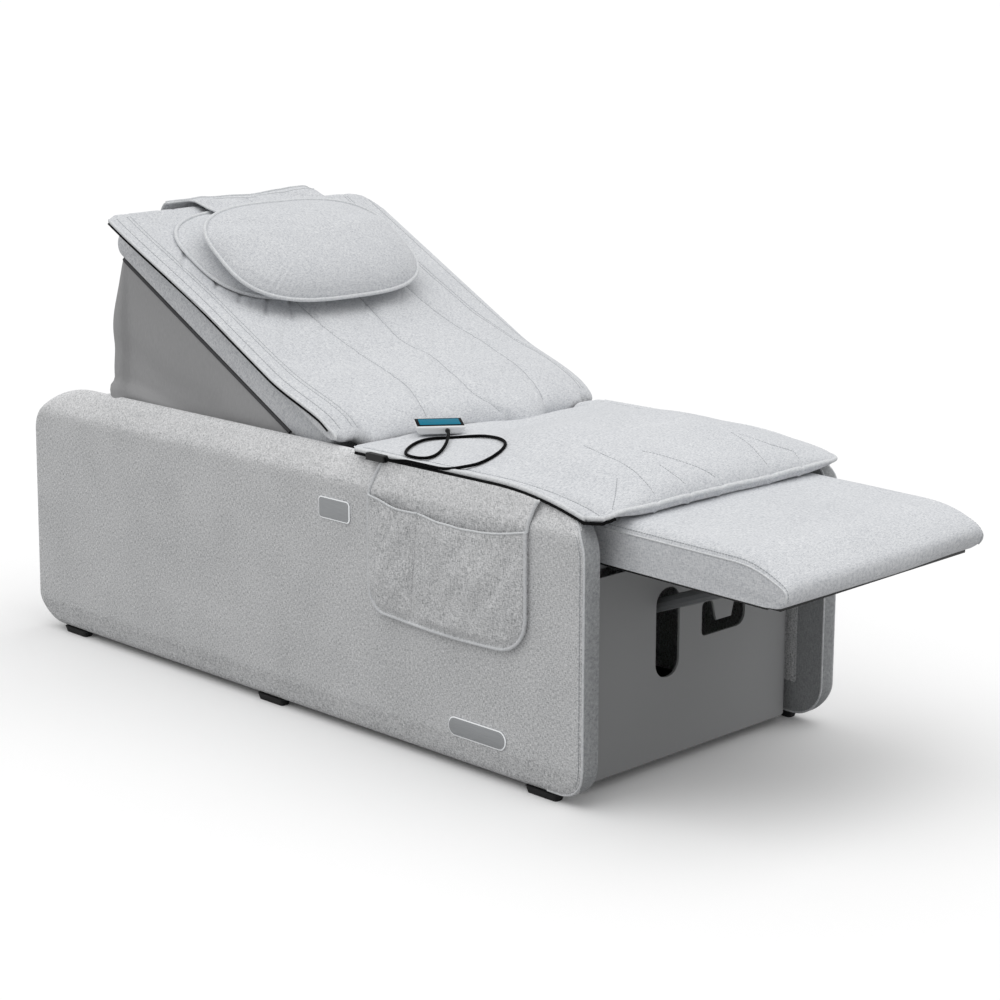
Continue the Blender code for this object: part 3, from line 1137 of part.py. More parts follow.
def gusset():
    """Stretch cloth round three sides, from under the deck down into the base, with soft folds."""
    outer = DECK_HALF - GUSSET_INSET
    head_x = BACK_HINGE.x - (DECK_LENGTH - GUSSET_INSET - DECK_HEAD_RADIUS) * math.cos(BACK_ANGLE)
    foot_x = BACK_HINGE.x - GUSSET_FOOT_START
    plan = bent_path([Vector((foot_x, -outer, 0)), Vector((head_x, -outer, 0)), Vector((head_x, outer, 0)),
                      Vector((foot_x, outer, 0))], GUSSET_CORNER, steps=4)
    dense = []
    for a, b in zip(plan, plan[1:]):
        pieces = max(1, round((b - a).length / 0.040))
        dense += [a + (b - a) * k / pieces for k in range(pieces)]
    dense.append(plan[-1])
    bottom = PANEL_TOP - GUSSET_TUCK
    levels = (0.0, 0.16, 0.4, 0.65, 0.87, 1.0)
    walked = [0.0]
    for a, b in zip(dense, dense[1:]):
        walked.append(walked[-1] + (b - a).length)
    rings = []
    for i, place in enumerate(dense):
        ahead, behind = dense[min(i + 1, len(dense) - 1)], dense[max(i - 1, 0)]
        along = (ahead - behind).normalized()
        outward = Vector((along.y, -along.x, 0))
        under = (DECK_UNDER - 2 * SEAT_GAP - (place.x - BACK_HINGE.x) * math.sin(BACK_ANGLE)) / math.cos(BACK_ANGLE)
        top = BACK_HINGE.z + under
        wave = GUSSET_WAVE * math.sin(math.tau * GUSSET_WAVES * walked[i] / walked[-1])
        sides = []
        for depth in (0.0, -GUSSET_CLOTH):
            column = []
            for level in levels:
                belly = math.sin(math.pi * level)
                slack = GUSSET_SLACK * max(0.0, -outward.x) * (1 - level ** 4)
                column.append(place + outward * (depth + wave * belly + slack)
                              + Vector((0, 0, bottom + (top - bottom) * level)))
            sides.append(column)
        rings.append(sides[0] + sides[1][::-1])
    loft("gusset", rings, STRETCH)


def build():
    """Every sub-part, base first."""
    side_panel("side_panel_near", -1)
    side_panel("side_panel_far", 1)
    feet()
    base_boards()
    foot_panel()
    seat_mat()
    pocket()
    plates()
    hand_control()
    gusset()
    backrest = axis_empty("backrest_axis", BACK_HINGE, tilt=BACK_ANGLE)
    back_hinge(backrest)
    back_deck(backrest)
    massage_unit(backrest)
    back_mat(backrest)
    head_end(backrest)
    back_lift()
    leg = axis_empty("leg_rest_axis", LEG_HINGE, tilt=LEG_TILT)
    leg_rest(leg)
    leg_lift()


build()
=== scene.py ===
# %% [markdown]
# A massage bench in grey melange fabric
#
# The real bench is an upholstered box with two padded side panels, a quilted mat that runs from the head of
# the raised backrest to the front of the seat, a leg rest on a lift arm, and a hand control on a short cord.
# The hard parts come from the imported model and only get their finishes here. Everything soft is made again in
# this file, because a solid has no seams, piping or folds.

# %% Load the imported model
import math

import bmesh
import bpy
import numpy as np
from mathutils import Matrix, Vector


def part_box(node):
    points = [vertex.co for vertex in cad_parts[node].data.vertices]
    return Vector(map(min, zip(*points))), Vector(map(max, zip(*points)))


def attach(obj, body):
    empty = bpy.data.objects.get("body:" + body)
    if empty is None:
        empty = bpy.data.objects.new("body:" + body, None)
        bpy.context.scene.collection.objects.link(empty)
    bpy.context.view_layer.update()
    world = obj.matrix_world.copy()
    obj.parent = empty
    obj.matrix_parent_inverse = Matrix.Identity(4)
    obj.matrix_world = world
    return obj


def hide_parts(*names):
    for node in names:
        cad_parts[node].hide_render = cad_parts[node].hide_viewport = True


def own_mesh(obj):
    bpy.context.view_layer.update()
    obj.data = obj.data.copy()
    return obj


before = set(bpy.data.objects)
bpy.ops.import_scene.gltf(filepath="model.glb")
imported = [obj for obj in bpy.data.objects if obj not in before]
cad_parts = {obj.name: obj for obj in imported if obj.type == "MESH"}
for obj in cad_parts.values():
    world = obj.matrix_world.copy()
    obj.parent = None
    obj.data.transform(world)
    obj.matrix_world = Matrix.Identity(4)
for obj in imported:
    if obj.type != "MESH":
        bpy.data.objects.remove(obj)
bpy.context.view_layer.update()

# %% [markdown]
# The camera comes first. Its place was found from the straight edges
# of the side panels and the foot panel: it stands off the near foot corner, a little above the bed, with a
# long lens that keeps the edges nearly parallel.

# %% Camera at the photograph's viewing angle
CAMERA_PLACE = Vector((3.2338, -3.1324, 1.4553))
CAMERA_AZIMUTH = math.radians(45.211)
CAMERA_ELEVATION = math.radians(13.161)
camera_data = bpy.data.cameras.new("photo_camera")
camera_data.lens = 82.55
camera_data.sensor_width = 36.0
camera_data.clip_end = 400.0
camera = bpy.data.objects.new("photo_camera", camera_data)
bpy.context.scene.collection.objects.link(camera)
looking_back = Vector((math.sin(CAMERA_AZIMUTH) * math.cos(CAMERA_ELEVATION),
                       -math.cos(CAMERA_AZIMUTH) * math.cos(CAMERA_ELEVATION),
                       math.sin(CAMERA_ELEVATION)))
camera.location = CAMERA_PLACE
camera.rotation_euler = looking_back.to_track_quat("Z", "Y").to_euler()
bpy.context.scene.camera = camera
bpy.context.scene.view_settings.view_transform = "Standard"
print("camera", [round(v, 3) for v in camera.location])

# %% [markdown]
# Colours are written as the eye names them, in sRGB hex, and turned to linear light by one function. Node
# graphs grow long quickly, so one small helper adds a node, sets its settings and wires its inputs.

# %% Colour and node helpers
def linear(hex_colour):
    """A linear colour with full alpha from an sRGB hex value."""
    channels = [int(hex_colour[i:i + 2], 16) / 255 for i in (1, 3, 5)]
    return (*(c / 12.92 if c <= 0.04045 else ((c + 0.055) / 1.055) ** 2.4 for c in channels), 1.0)


def add_node(tree, kind, settings, inputs):
    """Add one node, set its settings, and fill each input with a value or a wire."""
    node = tree.nodes.new(kind)
    for key, value in settings.items():
        setattr(node, key, value)
    for key, value in inputs.items():
        if isinstance(value, bpy.types.NodeSocket):
            tree.links.new(value, node.inputs[key])
        else:
            node.inputs[key].default_value = value
    return node


def new_material(name):
    """An empty node material, its tree and its output."""
    material = bpy.data.materials.new(name)
    material.use_nodes = True
    tree = material.node_tree
    tree.nodes.clear()
    return material, tree, tree.nodes.new("ShaderNodeOutputMaterial")


# %% [markdown]
# The studio is a white sweep with the light all round, so the bench casts only a soft shadow about its feet.
# For the camera, and in reflections, the floor is white paper with a little light of its own, and it keeps
# the bench's soft shadow. For bounced light it is a greyer floor, so the bench's sides stay in some shade.

# %% Floor, world and lamps
WORLD_LEVEL = 0.50
FLOOR_SEEN, FLOOR_LIFT, FLOOR_BOUNCE = 0.97, 0.025, 0.45
LAMP_SPREAD = math.radians(60)


def seen_directly(tree):
    """A socket that is 1 for rays from the camera or a shiny surface, and 0 for bounced light."""
    rays = add_node(tree, "ShaderNodeLightPath", {}, {})
    shiny = add_node(tree, "ShaderNodeMath", {"operation": "MAXIMUM"},
                     {0: rays.outputs["Is Glossy Ray"], 1: rays.outputs["Is Transmission Ray"]})
    seen = add_node(tree, "ShaderNodeMath", {"operation": "MAXIMUM"},
                    {0: rays.outputs["Is Camera Ray"], 1: shiny.outputs[0]})
    return seen.outputs[0]


bpy.ops.object.select_all(action="DESELECT")
bpy.ops.mesh.primitive_plane_add(size=160.0, location=(0, 0, 0))
floor = bpy.context.object
floor.name = "studio_floor"
floor_material, tree, output = new_material("white_sweep_paper")
paper = add_node(tree, "ShaderNodeBsdfDiffuse", {}, {"Color": (FLOOR_BOUNCE, FLOOR_BOUNCE, FLOOR_BOUNCE, 1)})
white_paper = add_node(tree, "ShaderNodeBsdfDiffuse", {}, {"Color": (FLOOR_SEEN, FLOOR_SEEN, FLOOR_SEEN, 1)})
lift = add_node(tree, "ShaderNodeEmission", {}, {"Color": (1, 1, 1, 1), "Strength": FLOOR_LIFT})
lifted = add_node(tree, "ShaderNodeAddShader", {}, {0: white_paper.outputs[0], 1: lift.outputs[0]})
shown = add_node(tree, "ShaderNodeMixShader", {},
                 {0: seen_directly(tree), 1: paper.outputs[0], 2: lifted.outputs[0]})
tree.links.new(shown.outputs[0], output.inputs["Surface"])
floor.data.materials.append(floor_material)

world = bpy.data.worlds.new("white_studio")
bpy.context.scene.world = world
world.use_nodes = True
tree = world.node_tree
tree.nodes.clear()
level = add_node(tree, "ShaderNodeMapRange", {},
                 {"Value": seen_directly(tree), "To Min": WORLD_LEVEL, "To Max": 1.0})
sky = add_node(tree, "ShaderNodeBackground", {}, {"Color": (1, 1, 1, 1), "Strength": level.outputs[0]})
add_node(tree, "ShaderNodeOutputWorld", {}, {"Surface": sky.outputs[0]})

# A broad softbox high over the far foot corner, and another that fills the near side
LAMPS = (("overhead_softbox", (0.34, 0.32, 0.88), 0.31), ("near_fill_softbox", (-0.08, -0.46, 0.88), 0.30))
level_up = WORLD_LEVEL
for name, light_from, strength in LAMPS:
    lamp_data = bpy.data.lights.new(name, "SUN")
    lamp_data.energy = strength * math.pi
    lamp_data.angle = LAMP_SPREAD
    lamp = bpy.data.objects.new(name, lamp_data)
    bpy.context.scene.collection.objects.link(lamp)
    towards = Vector(light_from).normalized()
    lamp.rotation_euler = towards.to_track_quat("Z", "Y").to_euler()
    level_up += strength * towards.z
print("light on an upward face", round(level_up, 2))

# %% [markdown]
# The upholstery is a two-tone melange weave: pale grey yarns with darker ones twisted in, so from a step away
# it looks like fine flecks along both thread directions. Real threads are about half a millimetre apart, too
# fine to show at this distance, so the flecks are drawn 1.6 mm wide and 6 mm long. They are noise, stretched
# along X for the warp, and along Y and Z for the weft, which works on level and on upright cloth alike. The
# backrest's cloth gets the same pattern turned with its slope. On the side panels the cloth is painted lighter
# along the top: painted light for the top band, which faces up to the lamps.

# %% Melange upholstery fabric
FLECK_WIDTH = 0.0016
FLECK_LENGTH = 0.0060
TOP_BAND_LIGHT_FROM, TOP_BAND_LIGHT_TO = 0.485, 0.525


def melange_fabric(name, dark, middle, light, tilt=0.0, nap=0.0006, brushed=0.0):
    """Woven two-tone upholstery: matte, with flecks of three greys and a low nap."""
    material, tree, output = new_material(name)
    place = add_node(tree, "ShaderNodeTexCoord", {}, {})
    long, short = 1 / FLECK_LENGTH, 1 / FLECK_WIDTH
    here = place.outputs["Object"]
    turned = add_node(tree, "ShaderNodeMapping", {}, {"Vector": here, "Rotation": (0, -tilt, 0)})
    threads = []
    for spread in ((long, short, short), (short, long, long)):
        drawn = add_node(tree, "ShaderNodeMapping", {}, {"Vector": turned.outputs[0], "Scale": spread})
        flecks = add_node(tree, "ShaderNodeTexNoise", {},
                          {"Vector": drawn.outputs[0], "Scale": 1.0, "Detail": 2.0})
        threads.append(flecks.outputs["Fac"])
    yarn = add_node(tree, "ShaderNodeMath", {"operation": "ADD"}, {0: threads[0], 1: threads[1]})
    cloud = add_node(tree, "ShaderNodeTexNoise", {}, {"Vector": here, "Scale": 9.0, "Detail": 3.0})
    drift = add_node(tree, "ShaderNodeMath", {"operation": "MULTIPLY_ADD"},
                     {0: cloud.outputs["Fac"], 1: 0.16, 2: -0.08})
    mixed = add_node(tree, "ShaderNodeMath", {"operation": "ADD"}, {0: yarn.outputs[0], 1: drift.outputs[0]})
    # Painted light: above this height the cloth's greys are raised, for the top band that faces up to the lamps
    split = add_node(tree, "ShaderNodeSeparateXYZ", {}, {0: here})
    top_band_painted_light = add_node(tree, "ShaderNodeMapRange", {}, {"Value": split.outputs["Z"], "From Min": TOP_BAND_LIGHT_FROM,
                                                     "From Max": TOP_BAND_LIGHT_TO, "To Max": brushed})
    shade = add_node(tree, "ShaderNodeMath", {"operation": "ADD"}, {0: mixed.outputs[0], 1: top_band_painted_light.outputs[0]})
    tone = add_node(tree, "ShaderNodeMapRange", {},
                    {"Value": shade.outputs[0], "From Min": 0.62, "From Max": 1.38})
    ramp = add_node(tree, "ShaderNodeValToRGB", {}, {"Fac": tone.outputs[0]})
    ramp.color_ramp.elements[0].color = linear(dark)
    ramp.color_ramp.elements[1].color = linear(light)
    ramp.color_ramp.elements.new(0.5).color = linear(middle)
    bump = add_node(tree, "ShaderNodeBump", {},
                    {"Height": mixed.outputs[0], "Strength": 0.55, "Distance": nap})
    shader = add_node(tree, "ShaderNodeBsdfPrincipled", {}, {
        "Base Color": ramp.outputs[0], "Normal": bump.outputs[0], "Roughness": 0.92,
        "Specular IOR Level": 0.18, "Sheen Weight": 0.06, "Sheen Roughness": 0.5})
    tree.links.new(shader.outputs[0], output.inputs["Surface"])
    return material


BACK_ANGLE = math.radians(28.7)
FABRIC = melange_fabric("melange_weave", "#B4B7BC", "#D5D7DA", "#EBECEE")
FABRIC_BACK = melange_fabric("melange_weave_backrest", "#B2B4B9", "#D3D5D8", "#EAEBEC", BACK_ANGLE)
# The side panels' cloth carries painted light along its top band
FABRIC_SIDE = melange_fabric("melange_weave_side_panels", "#8A8C8E", "#D0D1D2", "#FAFAFB", brushed=0.14)
# Painted shade: a darker copy of the side panels' cloth, for their foot ends and the inner faces near the foot
# end
FABRIC_PAINTED_SHADE = melange_fabric("melange_weave_panel_ends_painted_shade", "#85878A", "#A0A2A4", "#B7B9BA")
# Piping is the same cloth as the cover, given lighter greys: painted highlight for the light along its round
# cord
PIPING_PAINTED_HIGHLIGHT = melange_fabric("melange_piping_painted_highlight", "#C5C8CB", "#DADCDE", "#ECEDEE", 0.0, 0.0004)
print("fabrics", [m.name for m in (FABRIC, FABRIC_BACK, FABRIC_SIDE, FABRIC_PAINTED_SHADE, PIPING_PAINTED_HIGHLIGHT)])

# %% [markdown]
# Stitches are polyester thread a shade darker than the cloth. The gusset is a plain stretch knit: smooth,
# with fine vertical ribs that only show close up. A black strip under the mats' near edges is painted shadow.

# %% Thread and stretch knit
def plain_finish(name, colour, second, scale, roughness, bump_height, metallic=0.0, specular=0.5,
                 stretch=(1, 1, 1)):
    """A finish with a noise-mixed colour and a matching bump, its grain given in parts of a metre."""
    material, tree, output = new_material(name)
    place = add_node(tree, "ShaderNodeTexCoord", {}, {})
    grain_place = add_node(tree, "ShaderNodeMapping", {},
                           {"Vector": place.outputs["Object"], "Scale": stretch})
    grain = add_node(tree, "ShaderNodeTexNoise", {},
                     {"Vector": grain_place.outputs[0], "Scale": scale, "Detail": 4.0})
    ramp = add_node(tree, "ShaderNodeValToRGB", {}, {"Fac": grain.outputs["Fac"]})
    ramp.color_ramp.elements[0].position = 0.3
    ramp.color_ramp.elements[0].color = linear(colour)
    ramp.color_ramp.elements[1].position = 0.7
    ramp.color_ramp.elements[1].color = linear(second)
    wear = add_node(tree, "ShaderNodeMapRange", {}, {
        "Value": grain.outputs["Fac"], "From Min": 0.3, "From Max": 0.7,
        "To Min": roughness * 0.9, "To Max": min(1.0, roughness * 1.1)})
    bump = add_node(tree, "ShaderNodeBump", {}, {"Height": grain.outputs["Fac"], "Strength": 0.5,
                                                 "Distance": bump_height})
    shader = add_node(tree, "ShaderNodeBsdfPrincipled", {}, {
        "Base Color": ramp.outputs[0], "Roughness": wear.outputs[0], "Normal": bump.outputs[0],
        "Metallic": metallic, "Specular IOR Level": specular})
    tree.links.new(shader.outputs[0], output.inputs["Surface"])
    return material


# A grain of 1 / scale metres: 0.5 mm for thread twist, 1 mm ribs for the knit, drawn eight times as tall
THREAD = plain_finish("polyester_thread", "#A0A3A6", "#B0B3B6", 2000, 0.8, 0.0001)
# Painted shadow: near-black, for the dark gaps under the mats' near edges
SHADOW_LINE_STRIP = plain_finish("black_painted_shadow_strip", "#0B0B0C", "#141415", 700, 0.95, 0.0002, 0.0, 0.1)
KNIT = plain_finish("stretch_knit", "#A3A3A4", "#ADADAE", 700, 0.95, 0.0002, 0.0, 0.1, (1, 1, 0.125))

# %% [markdown]
# The foot panel is injection-moulded ABS with a fine spark-eroded grain, which scatters highlights so that it
# reads as flat grey. The same finish in black serves the motor housings, the socket and the leg board. Feet
# and rollers are rubber. The lift tubes and brackets are steel under a satin coat of paint, the plates and
# rods are brushed stainless steel, and the boards inside are plywood coloured near-black: painted shade for
# the dark inside of the base.

# %% Plastics, rubber, steel and plywood
MOULDED = plain_finish("moulded_abs_grey", "#999A9B", "#A1A2A3", 900, 0.62, 0.00008, 0.0, 0.35)
BLACK_ABS = plain_finish("moulded_abs_black", "#0A0A0B", "#111112", 900, 0.5, 0.00006, 0.0, 0.3)
RUBBER = plain_finish("black_rubber", "#0C0C0D", "#171718", 600, 0.75, 0.0001, 0.0, 0.3)
CORD_SKIN = plain_finish("pvc_cord_skin", "#020203", "#050506", 1200, 0.60, 0.00005, 0.0, 0.04)
PAINTED = plain_finish("satin_painted_steel", "#6E7072", "#787A7C", 500, 0.42, 0.00005, 0.0, 0.5)
BRUSHED = plain_finish("brushed_stainless", "#96989A", "#B4B6B8", 1500, 0.34, 0.00003, 1.0, 0.5, (0.03, 1, 1))
# Painted shade: the inside boards are near-black, for the dark inside of the base seen through its slot
PLYWOOD_PAINTED_SHADE = plain_finish("near_black_plywood_painted_shade", "#121212", "#1D1C1B", 160, 0.7, 0.0001, 0.0, 0.2,
                       (0.08, 1, 1))
WHITE_ABS = plain_finish("moulded_abs_white", "#E2E3E4", "#E9EAEB", 1200, 0.38, 0.00003)
BEZEL = plain_finish("black_bezel", "#010102", "#030304", 1200, 0.6, 0.00001, 0.0, 0.03)

HARD_FINISHES = {
    "foot_panel": MOULDED, "leg_board": BLACK_ABS, "back_lift_motor": BLACK_ABS, "leg_lift_motor": BLACK_ABS,
    "cord_gland": RUBBER, "cord_socket": BLACK_ABS, "base_board": PLYWOOD_PAINTED_SHADE, "seat_deck": PLYWOOD_PAINTED_SHADE,
    "backrest_foot_rail": PLYWOOD_PAINTED_SHADE, "backrest_head_rail": FABRIC_BACK, "hinge_rod": BRUSHED,
    "leg_hinge_rod": BRUSHED, "massage_roller_upper": BRUSHED, "massage_roller_lower": BRUSHED,
    "back_lift_arm_roller": RUBBER, "leg_lift_arm_roller": RUBBER}
for name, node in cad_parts.items():
    finish = HARD_FINISHES.get(name, RUBBER if name.startswith("foot_") else PAINTED)
    node.data.materials.clear()
    node.data.materials.append(finish)
print("finishes set on", len(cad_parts), "nodes")

# %% [markdown]
# The seat mat's upper face is needed before the mat itself, because the hand control and its cord lie on it.
# It is a thin pad that rises to a crown towards the foot end and dips into a fold in front of the backrest on
# the far half.

# %% The seat mat's upper face
PANEL_FRONT, PANEL_REAR, HALF_WIDTH = 0.646, -1.014, 0.360
PANEL_TOP, INNER_HALF = 0.558, 0.320
MAT_HALF = 0.345
SEAT_BOTTOM, SEAT_REAR, SEAT_FRONT = 0.5613, 0.022, 0.668
SEAT_EDGE = 0.006


def ease(value):
    """A smooth step from 0 to 1, for numbers or arrays."""
    t = np.clip(value, 0.0, 1.0)
    return t * t * (3 - 2 * t)


def seat_sink(y):
    """How deep the mat's rear edge lies in the fold on the far half."""
    return 0.034 * ease((y + 0.020) / 0.150) * ease((INNER_HALF - 0.030 - y) / 0.060)


def seat_top(x, y):
    """Height of the seat mat's upper face."""
    inset, along = MAT_HALF - np.abs(y), x - SEAT_REAR
    pad = 0.014 * ease(inset / 0.120) * ease(along / 0.050)
    crown = 0.042 * ease((along - 0.080) / 0.280) * ease(inset / MAT_HALF / 0.72)
    fold = seat_sink(y) * (1 - ease(along / 0.085))
    hollow = 0.014 * np.exp(-((x - 0.135) ** 2 + (y - 0.010) ** 2) / 0.075 ** 2)
    return SEAT_BOTTOM + SEAT_EDGE + pad + crown - fold - hollow


print("seat mat's top at its middle", round(float(seat_top(0.4, 0.0)), 3))

# %% [markdown]
# The cord is a limp 6 mm lead, and the photograph shows it from end to end: out of the hand control's short
# side, round a small loop, under its own first stretch, round a wide loop, and along the mat's edge to its
# socket. It is one smooth curve through the route's points, which lie on the mat, with a long low hump where
# it passes over itself.

# %% The hand control's cord
CORD_RADIUS = 0.003
CORD_ROUTE = (
    (0.4778, 0.1344, 0.0086), (0.4480, 0.1020, 0.0048), (0.4307, 0.0724, 0.0012), (0.4225, 0.0440, 0.0010),
    (0.4290, 0.0260, 0.0012), (0.4480, 0.0205, 0.0014), (0.4690, 0.0225, 0.0012), (0.4874, 0.0330, 0.0010),
    (0.5050, 0.0560, 0.0009), (0.5140, 0.0840, 0.0009), (0.5120, 0.1060, 0.0009), (0.4990, 0.1220, 0.0009),
    (0.4800, 0.1338, 0.0007), (0.4630, 0.1445, 0.0009), (0.4450, 0.1545, 0.0009), (0.4250, 0.1598, 0.0009),
    (0.3980, 0.1585, 0.0009), (0.3568, 0.1478, 0.0009), (0.3259, 0.1333, 0.0009), (0.3099, 0.1160, 0.0009),
    (0.3040, 0.0930, 0.0009), (0.3065, 0.0690, 0.0009), (0.3125, 0.0470, 0.0010), (0.3225, 0.0260, 0.0022),
    (0.3400, 0.0138, 0.0105), (0.3640, 0.0100, 0.0072), (0.3900, 0.0098, 0.0068), (0.4300, 0.0096, 0.0068),
    (0.4640, 0.0090, 0.0068))


def cord_rest(x, y):
    """Height that the cord lies on: the seat mat, or the panel's shoulder outside it."""
    return float(seat_top(x, y)) if abs(y) < MAT_HALF else PANEL_TOP - 0.003


def smooth_route(points, step):
    """Points at even steps along a smooth curve through the given ones, and the curve's length."""
    ends = [2 * points[0] - points[1], *points, 2 * points[-1] - points[-2]]
    fine = []
    for a, b, c, d in zip(ends, ends[1:], ends[2:], ends[3:]):
        for k in range(24):
            t = k / 24
            fine.append(0.5 * (2 * b + (c - a) * t + (2 * a - 5 * b + 4 * c - d) * t ** 2
                               + (3 * b - a - 3 * c + d) * t ** 3))
    fine.append(points[-1])
    total = sum((b - a).length for a, b in zip(fine, fine[1:]))
    count = max(2, round(total / step))
    kept, walked = [fine[0]], 0.0
    for a, b in zip(fine, fine[1:]):
        walked += (b - a).length
        if walked >= total / count * len(kept) and len(kept) < count:
            kept.append(b)
    return [*kept, fine[-1]], total


REMOTE_TURN = math.radians(52.0)
REMOTE_PLACE = Vector((PANEL_FRONT - 0.543, -HALF_WIDTH + 0.172, 0.0))
remote_low, remote_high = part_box("remote_body")
SLOPE_STEP = 0.002
rx, ry = REMOTE_PLACE.x, REMOTE_PLACE.y
slope_x = float(seat_top(rx + SLOPE_STEP, ry) - seat_top(rx - SLOPE_STEP, ry)) / (2 * SLOPE_STEP)
slope_y = float(seat_top(rx, ry + SLOPE_STEP) - seat_top(rx, ry - SLOPE_STEP)) / (2 * SLOPE_STEP)
remote_up = Vector((-slope_x, -slope_y, 1)).normalized()
remote_along = Vector((math.cos(REMOTE_TURN), math.sin(REMOTE_TURN), 0))
remote_turn = (Vector((0, 0, 1)).rotation_difference(remote_up)
               @ Vector((1, 0, 0)).rotation_difference(remote_along))
gland_low, gland_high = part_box("cord_gland")
socket_low, socket_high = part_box("cord_socket")
out_of_remote = remote_turn @ Vector((0, -1, 0))
gland_middle = (Vector(gland_low) + Vector(gland_high)) / 2
cord_exit = gland_middle + out_of_remote * 0.0053
route = [cord_exit, cord_exit + out_of_remote * 0.0077]
for from_front, from_side, ride in CORD_ROUTE:
    x, y = PANEL_FRONT - from_front, -HALF_WIDTH + from_side
    route.append(Vector((x, y, cord_rest(x, y) + ride + CORD_RADIUS)))
socket_mouth = Vector((socket_high[0], (socket_low[1] + socket_high[1]) / 2,
                       (socket_low[2] + socket_high[2]) / 2))
route += [socket_mouth + Vector((0.020, 0, 0)), socket_mouth + Vector((0.0003, 0, 0))]
cord_points, cord_length = smooth_route(route, 5 * CORD_RADIUS)


def curve_tube(name, points, radius, material):
    """A round tube along smooth points, kept as a curve."""
    data = bpy.data.curves.new(name, "CURVE")
    data.dimensions = "3D"
    data.bevel_depth = radius
    data.bevel_resolution = 4
    data.use_fill_caps = True
    data.resolution_u = 3
    line = data.splines.new("NURBS")
    line.points.add(len(points) - 1)
    for slot, place in zip(line.points, points):
        slot.co = (*place, 1.0)
    line.order_u = 4
    line.use_endpoint_u = True
    data.materials.append(material)
    tube = bpy.data.objects.new(name, data)
    bpy.context.scene.collection.objects.link(tube)
    return tube


cord = curve_tube("hand_control_cord", cord_points, CORD_RADIUS, CORD_SKIN)
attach(cord, "base")
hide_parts("remote_cord")
print("cord length", round(cord_length, 3), "points", len(cord_points))

# %% [markdown]
# Soft pieces share a few ways of making. A padded form is a loft: closed rings of points, skinned with quads
# and capped at both ends, which keeps full control of where a seam or a fold goes. Piping is a round cord
# wrapped in cloth along an edge, so it is a curve with a round bevel, turned to a mesh. Stitches are tiny
# capsules set along a line.

# %% Helpers for lofts, piping and stitches
def mesh_piece(name, points, faces, material, body, sharp=40):
    """A new mesh object from points and faces, its faces turned outwards, riding on a body."""
    mesh = bpy.data.meshes.new(name)
    mesh.from_pydata([tuple(map(float, p)) for p in points], [], faces)
    bm = bmesh.new()
    bm.from_mesh(mesh)
    bmesh.ops.remove_doubles(bm, verts=bm.verts, dist=1e-6)
    bmesh.ops.recalc_face_normals(bm, faces=bm.faces)
    bm.to_mesh(mesh)
    bm.free()
    mesh.materials.append(material)
    mesh.shade_smooth()
    mesh.set_sharp_from_angle(angle=math.radians(sharp))
    made = bpy.data.objects.new(name, mesh)
    bpy.context.scene.collection.objects.link(made)
    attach(made, body)
    return made


def loft(name, rings, material, body, sharp=40):
    """A closed form through rings of equal length, capped at its first and last ring."""
    rings = [np.asarray(ring, dtype=float) for ring in rings]
    count = len(rings[0])
    faces = [tuple(range(count)), tuple(range((len(rings) - 1) * count, len(rings) * count))[::-1]]
    for r in range(len(rings) - 1):
        for k in range(count):
            a, b = r * count + k, r * count + (k + 1) % count
            faces.append((a, b, b + count, a + count))
    return mesh_piece(name, np.concatenate(rings), faces, material, body, sharp)


def piping(name, lines, radius, material, body):
    """Cloth-covered cord along lines of points; a line whose ends meet is closed. One mesh for all lines."""
    data = bpy.data.curves.new(name, "CURVE")
    data.dimensions = "3D"
    data.bevel_depth = radius
    data.bevel_resolution = 2
    data.use_fill_caps = True
    for points in lines:
        closed = (Vector(points[0]) - Vector(points[-1])).length < 1e-6
        kept = points[:-1] if closed else points
        line = data.splines.new("POLY")
        line.points.add(len(kept) - 1)
        for slot_point, place in zip(line.points, kept):
            slot_point.co = (*map(float, place), 1.0)
        line.use_cyclic_u = closed
        line.use_smooth = True
    made = bpy.data.objects.new(name, data)
    bpy.context.scene.collection.objects.link(made)
    bpy.ops.object.select_all(action="DESELECT")
    made.select_set(True)
    bpy.context.view_layer.objects.active = made
    bpy.ops.object.convert(target="MESH")
    made = bpy.context.object
    made.data.materials.clear()
    made.data.materials.append(material)
    made.data.shade_smooth()
    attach(made, body)
    return made


def even_points(points, step):
    """Points at even steps along a polyline."""
    points = np.asarray(points, dtype=float)
    lengths = np.linalg.norm(np.diff(points, axis=0), axis=1)
    walked = np.concatenate([[0.0], np.cumsum(lengths)])
    count = max(2, int(round(walked[-1] / step)) + 1)
    marks = np.linspace(0, walked[-1], count)
    return np.stack([np.interp(marks, walked, points[:, i]) for i in range(3)], axis=1)


STITCH_PITCH, STITCH_LENGTH, STITCH_WIDTH = 0.0062, 0.0050, 0.0009


def stitches(name, lines, up, body):
    """Rows of short raised stitches along lines, each a flat six-sided capsule lying on the cloth."""
    points, faces = [], []
    for line in lines:
        marks = even_points(line, STITCH_PITCH)
        for a, b in zip(marks, marks[1:]):
            along = (b - a) / max(1e-9, np.linalg.norm(b - a))
            across = np.cross(np.asarray(up, dtype=float), along)
            across /= max(1e-9, np.linalg.norm(across))
            lift = np.cross(along, across)
            middle = (a + b) / 2
            base = len(points)
            for t, size in ((-0.5, 0.5), (-0.3, 1.0), (0.3, 1.0), (0.5, 0.5)):
                for k in range(6):
                    angle = math.tau * k / 6
                    points.append(middle + along * STITCH_LENGTH * t + STITCH_WIDTH * size *
                                  (across * math.cos(angle) + lift * math.sin(angle)))
            for r in range(3):
                row = base + r * 6
                for k in range(6):
                    m = (k + 1) % 6
                    faces.append((row + k, row + m, row + 6 + m, row + 6 + k))
            faces.append(tuple(base + k for k in range(6))[::-1])
            faces.append(tuple(base + 18 + k for k in range(6)))
    return mesh_piece(name, points, faces, THREAD, body)


